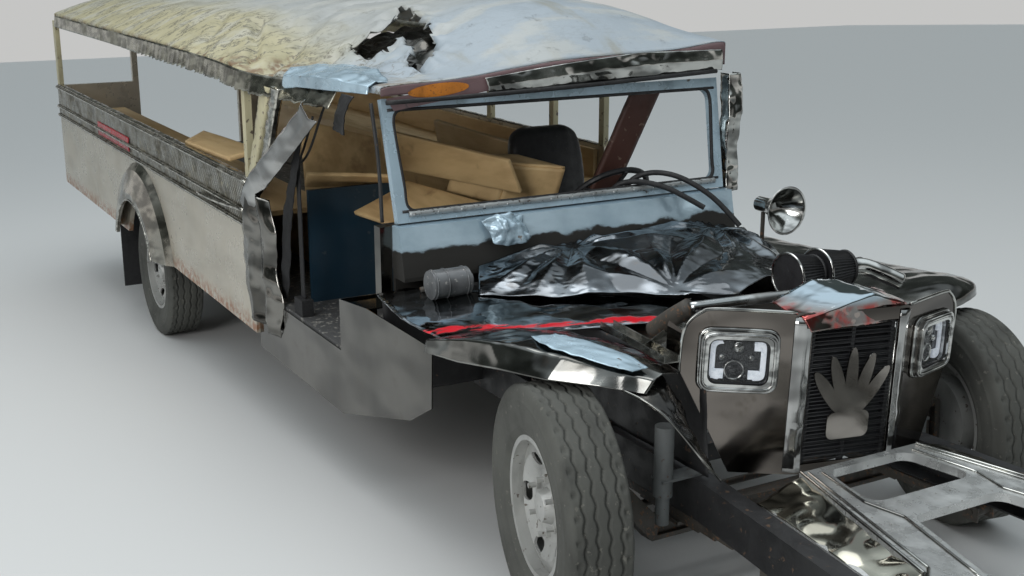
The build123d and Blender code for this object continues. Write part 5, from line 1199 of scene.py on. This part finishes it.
# The bell's section from its back round the mouth and in: radius and place along its axis.
BELL = ((0.030, -0.088), (0.032, -0.030), (0.040, 0.0), (0.058, 0.030), (0.080, 0.058), (0.096, 0.080),
        (0.099, 0.084), (0.096, 0.086), (0.088, 0.078), (0.060, 0.045), (0.038, 0.012), (0.020, 0.0),
        (0.0, 0.0))
BELL_SIDES = 48
turns = [n / BELL_SIDES * math.tau for n in range(BELL_SIDES)]
points = [(HORN.x + h, HORN.y + r * math.cos(a), HORN.z + r * math.sin(a)) for r, h in BELL for a in turns]
bell = place_mesh("horn_bell", points, wrapped(len(BELL), BELL_SIDES, capped=False), horn_chrome,
                  "stainless")
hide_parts("chrome_horn")
horn_bar = tube("horn_bracket", [(-1.07, 0.80, 0.93), (-1.07, 0.80, 0.77)], 0.009, oily_iron, "stainless")
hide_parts("chrome_horn")

# Hoses: two black rubber hoses of 22 mm that come out over the dashboard and run down across the
# cowl, torn off bare at their lower ends. Their routes follow those of the CAD tubes.
HOSES = {
    "hose_upper": [
        (-1.350, 0.300, 0.962), (-1.345, 0.300, 1.000), (-1.320, 0.330, 1.048), (-1.270, 0.390, 1.072),
        (-1.200, 0.460, 1.060), (-1.130, 0.530, 1.010), (-1.080, 0.590, 0.950), (-1.018, 0.638, 0.868),
    ],
    "hose_lower": [
        (-1.350, 0.230, 0.962), (-1.345, 0.232, 0.992), (-1.320, 0.260, 1.030), (-1.270, 0.320, 1.040),
        (-1.200, 0.400, 1.020), (-1.140, 0.470, 0.975), (-1.100, 0.520, 0.940),
    ],
}
HOSE_R = 0.011
for name, route in HOSES.items():
    curve = bpy.data.curves.new("rubber_" + name, "CURVE")
    curve.dimensions = "3D"
    curve.bevel_depth = HOSE_R
    curve.bevel_resolution = 6
    curve.resolution_u = 20
    curve.use_fill_caps = True
    line = curve.splines.new("NURBS")
    line.points.add(len(route) - 1)
    for point, at in zip(line.points, route):
        point.co = (*(BODY @ Vector(at)), 1)
    line.order_u = 3
    line.use_endpoint_u = True
    curve.materials.append(soft_rubber)
    hose = bpy.data.objects.new("rubber_" + name, curve)
    scene.collection.objects.link(hose)
    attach(hose, "chassis")
    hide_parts(name)
    tuple(BODY @ Vector(route[0]))

# Running gear and chassis: black channel rails, oily castings and forged axles, leaf springs, and
# grey shock absorbers. Thin black sheets close the wheel house and the foot of the cab; the
# wheel-house sheet also stands in for the shade inside the arch.
carry(black_steel, "chassis_frame", "rear_step", "steering_column", edge=0.003)
TOE_ROWS = (((-1.172, -0.86, 0.745), (-1.172, 0.70, 0.745)), ((-1.150, -0.86, 0.55), (-1.150, 0.70, 0.55)),
            ((-1.215, -0.86, 0.345), (-1.215, 0.70, 0.345)))
fold_sheet("toe_board", TOE_ROWS, black_steel, "black_steel", cells=(24, 60), crease=0.003, scale=6.0,
           thick=0.003)
# The black wheel-house sheet stands in for the shade inside the right front arch.
ARCH_ROWS = (((-1.17, -0.408, 0.745), (-0.55, -0.406, 0.742), (0.13, -0.408, 0.760)),
              ((-1.17, -0.408, 0.446), (-0.55, -0.406, 0.446), (0.16, -0.408, 0.450)))
fold_sheet("inner_arch_shade_sheet", ARCH_ROWS, black_steel, "black_steel", cells=(20, 60), crease=0.003, scale=7.0,
           thick=0.003)
carry(oily_iron, "engine_block", "driveline", "front_axle", "rear_axle", "leaf_springs", "knuckle_left",
      "knuckle_right", "track_rod", "radiator", edge=0.003)
carry(paint("dull_grey_paint", (0.15, 0.16, 0.16), worn=(0.10, 0.06, 0.04), gloss=0.5, wear=0.3, scale=12),
      "shock_absorbers", edge=0.004)

# Wheels: pressed steel discs welded in their rims, painted silver and dusty, with oval holes
# round a hub, held by nuts.
wheel_paint = paint("silver_wheel_paint", (0.50, 0.50, 0.48), worn=(0.15, 0.13, 0.11), gloss=0.34,
                    wear=0.30, scale=9, metal=0.55)
carry(wheel_paint, "wheel_front_left", "wheel_front_right", "wheel_rear_left", "wheel_rear_right",
      edge=0.0025)

# Tyres: moulded rubber, 0.74 m across, greyed by dust. Five worn ribs are parted by zigzag grooves,
# the shoulders are notched, and two raised lines run round each plain sidewall.
TYRE_R, TREAD_HALF, TREAD_STEPS, GROOVE = 0.370, 0.079, 50, 0.008
# The sidewall from the bead outward: radius and half width.
SIDEWALL = ((0.206, 0.069), (0.212, 0.076), (0.222, 0.080), (0.236, 0.089), (0.240, 0.091), (0.243, 0.089),
            (0.262, 0.095), (0.285, 0.099), (0.300, 0.0995), (0.318, 0.098), (0.322, 0.0995),
            (0.326, 0.097), (0.340, 0.0955), (0.351, 0.0935), (0.360, 0.0900), (0.366, 0.0855),
            (0.3685, 0.0820))
SHOULDER, NOTCH = 0.062, 0.006
AROUND, ZIGZAG, ZIGZAG_SWING = 320, 36, 0.0048
GROOVES = (-0.054, -0.0185, 0.0185, 0.054)
GROOVE_EDGE, NOTCH_EDGE, NOTCH_START = (0.0042, 0.0026), (0.17, 0.07), (SHOULDER, SHOULDER + 0.006)
tyre_rubber = paint("dusty_tyre_rubber", (0.088, 0.089, 0.079), worn=(0.125, 0.122, 0.105), gloss=0.8,
                    wear=0.3, scale=9)


def tread_drop(turn, across):
    """Depth of the tread at a place: four zigzag grooves and sipes at the shoulders."""
    saw = abs((turn * ZIGZAG) % 1 * 2 - 1) * 2 - 1
    drop = 0.0
    for n, centre in enumerate(GROOVES):
        gap = abs(across - centre - ZIGZAG_SWING * saw * (1 if n % 2 else -1))
        drop = max(drop, GROOVE * ease(*GROOVE_EDGE, gap))
    if abs(across) > SHOULDER:
        notch = abs((turn * ZIGZAG) % 1 - 0.5)
        drop = max(drop, NOTCH * ease(*NOTCH_EDGE, notch) * ease(*NOTCH_START, abs(across)))
    return drop


upright = Vector((0, 0, 1))
for place, side in (("front_left", 1), ("front_right", -1), ("rear_left", 1), ("rear_right", -1)):
    joint = next(j for j in frame["joints"] if j["child"] == place + "_wheel")
    outward = Vector(joint["axis"]).normalized() * side
    hub = placed(Vector(joint["pos_m"]), upright, outward.cross(upright), outward)
    line = [(r, -w) for r, w in SIDEWALL]
    line += [(TYRE_R, -TREAD_HALF + 2 * TREAD_HALF * k / TREAD_STEPS) for k in range(TREAD_STEPS + 1)]
    line += [(r, w) for r, w in reversed(SIDEWALL)]
    points, faces = [], []
    for a in range(AROUND):
        turn = a / AROUND
        c, s = math.cos(turn * math.tau), math.sin(turn * math.tau)
        for r, w in line:
            deep = tread_drop(turn, w) if r == TYRE_R else 0.0
            points.append(((r - deep) * c, (r - deep) * s, w))
    width = len(line)
    for a in range(AROUND):
        for k in range(width):
            b = (a + 1) % AROUND
            faces.append((a * width + k, b * width + k, b * width + (k + 1) % width,
                          a * width + (k + 1) % width))
    tyre = place_mesh("treaded_tyre_" + place, points, faces, tyre_rubber, "tyre", place + "_wheel", hub)
    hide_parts("tyre_" + place)

# Cab and load space: worn floor plate, plywood benches and a black dashboard, screwed down. Loose
# sheets of plywood, a broken box, a reddish plank and a navy board lie and lean on them.
carry(paint("worn_floor_plate", (0.09, 0.09, 0.09), worn=(0.24, 0.23, 0.21), gloss=0.5, wear=0.5, scale=8),
      "floor")
PLY, PLY_DARK = (0.68, 0.48, 0.24), (0.34, 0.21, 0.10)
plywood, tree, shader = finish("tan_plywood", PLY, metallic=0.0, roughness=0.55)
figure = grain(tree, 3.0, 7, (0.5, 4.0, 4.0))
wood = blend(tree, patches(tree, figure, 0.35, 0.68), PLY, (0.52, 0.345, 0.165))
wood = blend(tree, patches(tree, grain(tree, 7, 10), 0.58, 0.72, 0.0, 0.8), wood, PLY_DARK)
feed(tree, shader, Base_Color=wood, Roughness=patches(tree, figure, 0.3, 0.7, 0.4, 0.65))
relief(tree, shader, figure, 0.0008)
carry(plywood, "benches", "loose_boards", edge=0.002)
carry(dark_plastic, "dashboard", "steering_wheel", edge=0.004)
carry(paint("navy_board", (0.010, 0.034, 0.058), worn=(0.04, 0.06, 0.075), gloss=0.4, wear=0.2, scale=4),
      "cab_board", edge=0.003)
# Each board: its name, its upper and its lower edge, and its thickness.
BOARDS = (
    ("tall_sheet", ((-2.60, -0.62, 1.19), (-2.60, -0.18, 1.06)),
     ((-2.45, -0.66, 0.82), (-2.45, -0.20, 0.78)), 0.018),
    ("slanted_sheet", ((-2.36, -0.34, 1.165), (-1.56, -0.12, 1.12)),
     ((-2.36, -0.30, 0.985), (-1.56, -0.06, 0.98)), 0.018),
    ("low_sheet", ((-2.30, -0.36, 0.965), (-1.52, -0.16, 0.925)),
     ((-2.25, -0.62, 0.860), (-1.52, -0.40, 0.800)), 0.018),
    ("back_plank", ((-3.30, 0.40, 1.04), (-2.10, 0.30, 1.06)),
     ((-3.30, 0.42, 0.92), (-2.10, 0.32, 0.93)), 0.025),
    ("window_plank", ((-3.66, -0.76, 1.010), (-2.76, -0.76, 1.040)),
     ((-3.52, -0.900, 0.984), (-2.79, -0.900, 1.005)), 0.022),
    ("door_sheet", ((-2.05, -0.80, 1.05), (-1.95, -0.42, 1.02)),
     ((-2.25, -0.74, 0.96), (-2.20, -0.40, 0.94)), 0.015),
)
for name, top, low, thick in BOARDS:
    board = fold_sheet(name, (top, low), plywood, "plywood", cells=(16, 16), crease=0.0012, scale=3.0,
                       thick=thick)
    round_edges(board, 0.002, segments=1)
BOX = (
    ("box_end", ((-1.93, -0.16, 1.085), (-1.66, -0.05, 1.075)),
     ((-2.00, -0.18, 0.925), (-1.72, -0.08, 0.910))),
    ("box_side", ((-1.66, -0.05, 1.075), (-1.55, 0.14, 1.060)),
     ((-1.72, -0.08, 0.910), (-1.60, 0.12, 0.900))),
    ("box_lid", ((-1.93, -0.16, 1.090), (-1.66, -0.05, 1.080)),
     ((-1.80, 0.06, 1.085), (-1.55, 0.14, 1.065))),
)
for name, top, low in BOX:
    fold_sheet("loose_" + name, (top, low), plywood, "plywood", cells=(12, 12), crease=0.001, scale=4.0,
               thick=0.014)
red_plank = paint("reddish_plank", (0.115, 0.050, 0.038), worn=(0.22, 0.15, 0.11), gloss=0.4, wear=0.3,
                  scale=7)
PLANK_ROWS = (((-1.52, 0.46, 1.400), (-1.50, 0.575, 1.375)), ((-1.66, 0.315, 0.900), (-1.66, 0.440, 0.890)))
fold_sheet("leaning_plank", PLANK_ROWS, red_plank, "plywood", cells=(30, 8), crease=0.002, scale=5.0,
           thick=0.028)

# Driver's seat: black vinyl stitched over foam, a tall back with a round top and a thick base,
# both sagging a little, on a folded black steel stand.
seat_vinyl = paint("black_seat_vinyl", (0.014, 0.014, 0.016), worn=(0.045, 0.042, 0.04), gloss=0.38,
                   wear=0.1, scale=18)
SEAT_MID = 0.395
# The line of each cushion: x, z and half width.
BACK_LINE = ((-2.14, 0.720, 0.185), (-2.12, 0.85, 0.195), (-2.14, 1.00, 0.190), (-2.165, 1.10, 0.170),
             (-2.18, 1.145, 0.120))
BASE_LINE = ((-2.17, 0.650, 0.190), (-2.00, 0.655, 0.198), (-1.86, 0.665, 0.198), (-1.755, 0.660, 0.185))
CUSHION_SIDES, CUSHION_RINGS = 40, 30
END_POWER, SIDE_POWER, FACE_POWER = 8, 0.45, 0.6
SEAM_DEEP, SEAMS = 0.004, 70


def cushion(name, line, deep, forward):
    """A stuffed cushion along its line, faced along forward (x, z): flat ends, full in the middle."""
    points = []
    stops = [(n / (len(line) - 1), *p) for n, p in enumerate(line)]
    for k in range(CUSHION_RINGS + 1):
        x, z, half = through(stops, k / CUSHION_RINGS)
        close = math.sqrt(max(1 - (2 * k / CUSHION_RINGS - 1) ** END_POWER, 0.0))
        for n in range(CUSHION_SIDES):
            c, s = math.cos(n / CUSHION_SIDES * math.tau), math.sin(n / CUSHION_SIDES * math.tau)
            wide = half * math.copysign(abs(c) ** SIDE_POWER, c) * (0.85 + 0.15 * close)
            thick = deep * math.copysign(abs(s) ** FACE_POWER, s) * close * (1 - 0.25 * c * c)
            seam = SEAM_DEEP * math.cos(wide * SEAMS) * abs(s)
            points.append((x + forward[0] * (thick + seam), SEAT_MID + wide,
                           z + forward[1] * (thick + seam)))
    made = place_mesh(name, points, wrapped(CUSHION_RINGS + 1, CUSHION_SIDES), seat_vinyl, "seat_vinyl")
    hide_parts("driver_seat")


cushion("seat_back", BACK_LINE, deep=0.055, forward=(1, 0.12))
cushion("seat_base", BASE_LINE, deep=0.06, forward=(0.0, 1.0))
STAND_REAR, STAND_FRONT, STAND_HALF = -2.18, -1.77, 0.19
STAND_OUTLINE = ((STAND_REAR, -1), (STAND_REAR, 1), (STAND_FRONT, 1), (STAND_FRONT, -1), (STAND_REAR, -1))
stand = [[(x, SEAT_MID + side * STAND_HALF, z) for x, side in STAND_OUTLINE] for z in (0.485, 0.585)]
seat_stand = fold_sheet("seat_stand", stand, black_steel, "black_steel", cells=(12, 40), crease=0.001,
                        scale=9.0, thick=0.004)
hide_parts("driver_seat")
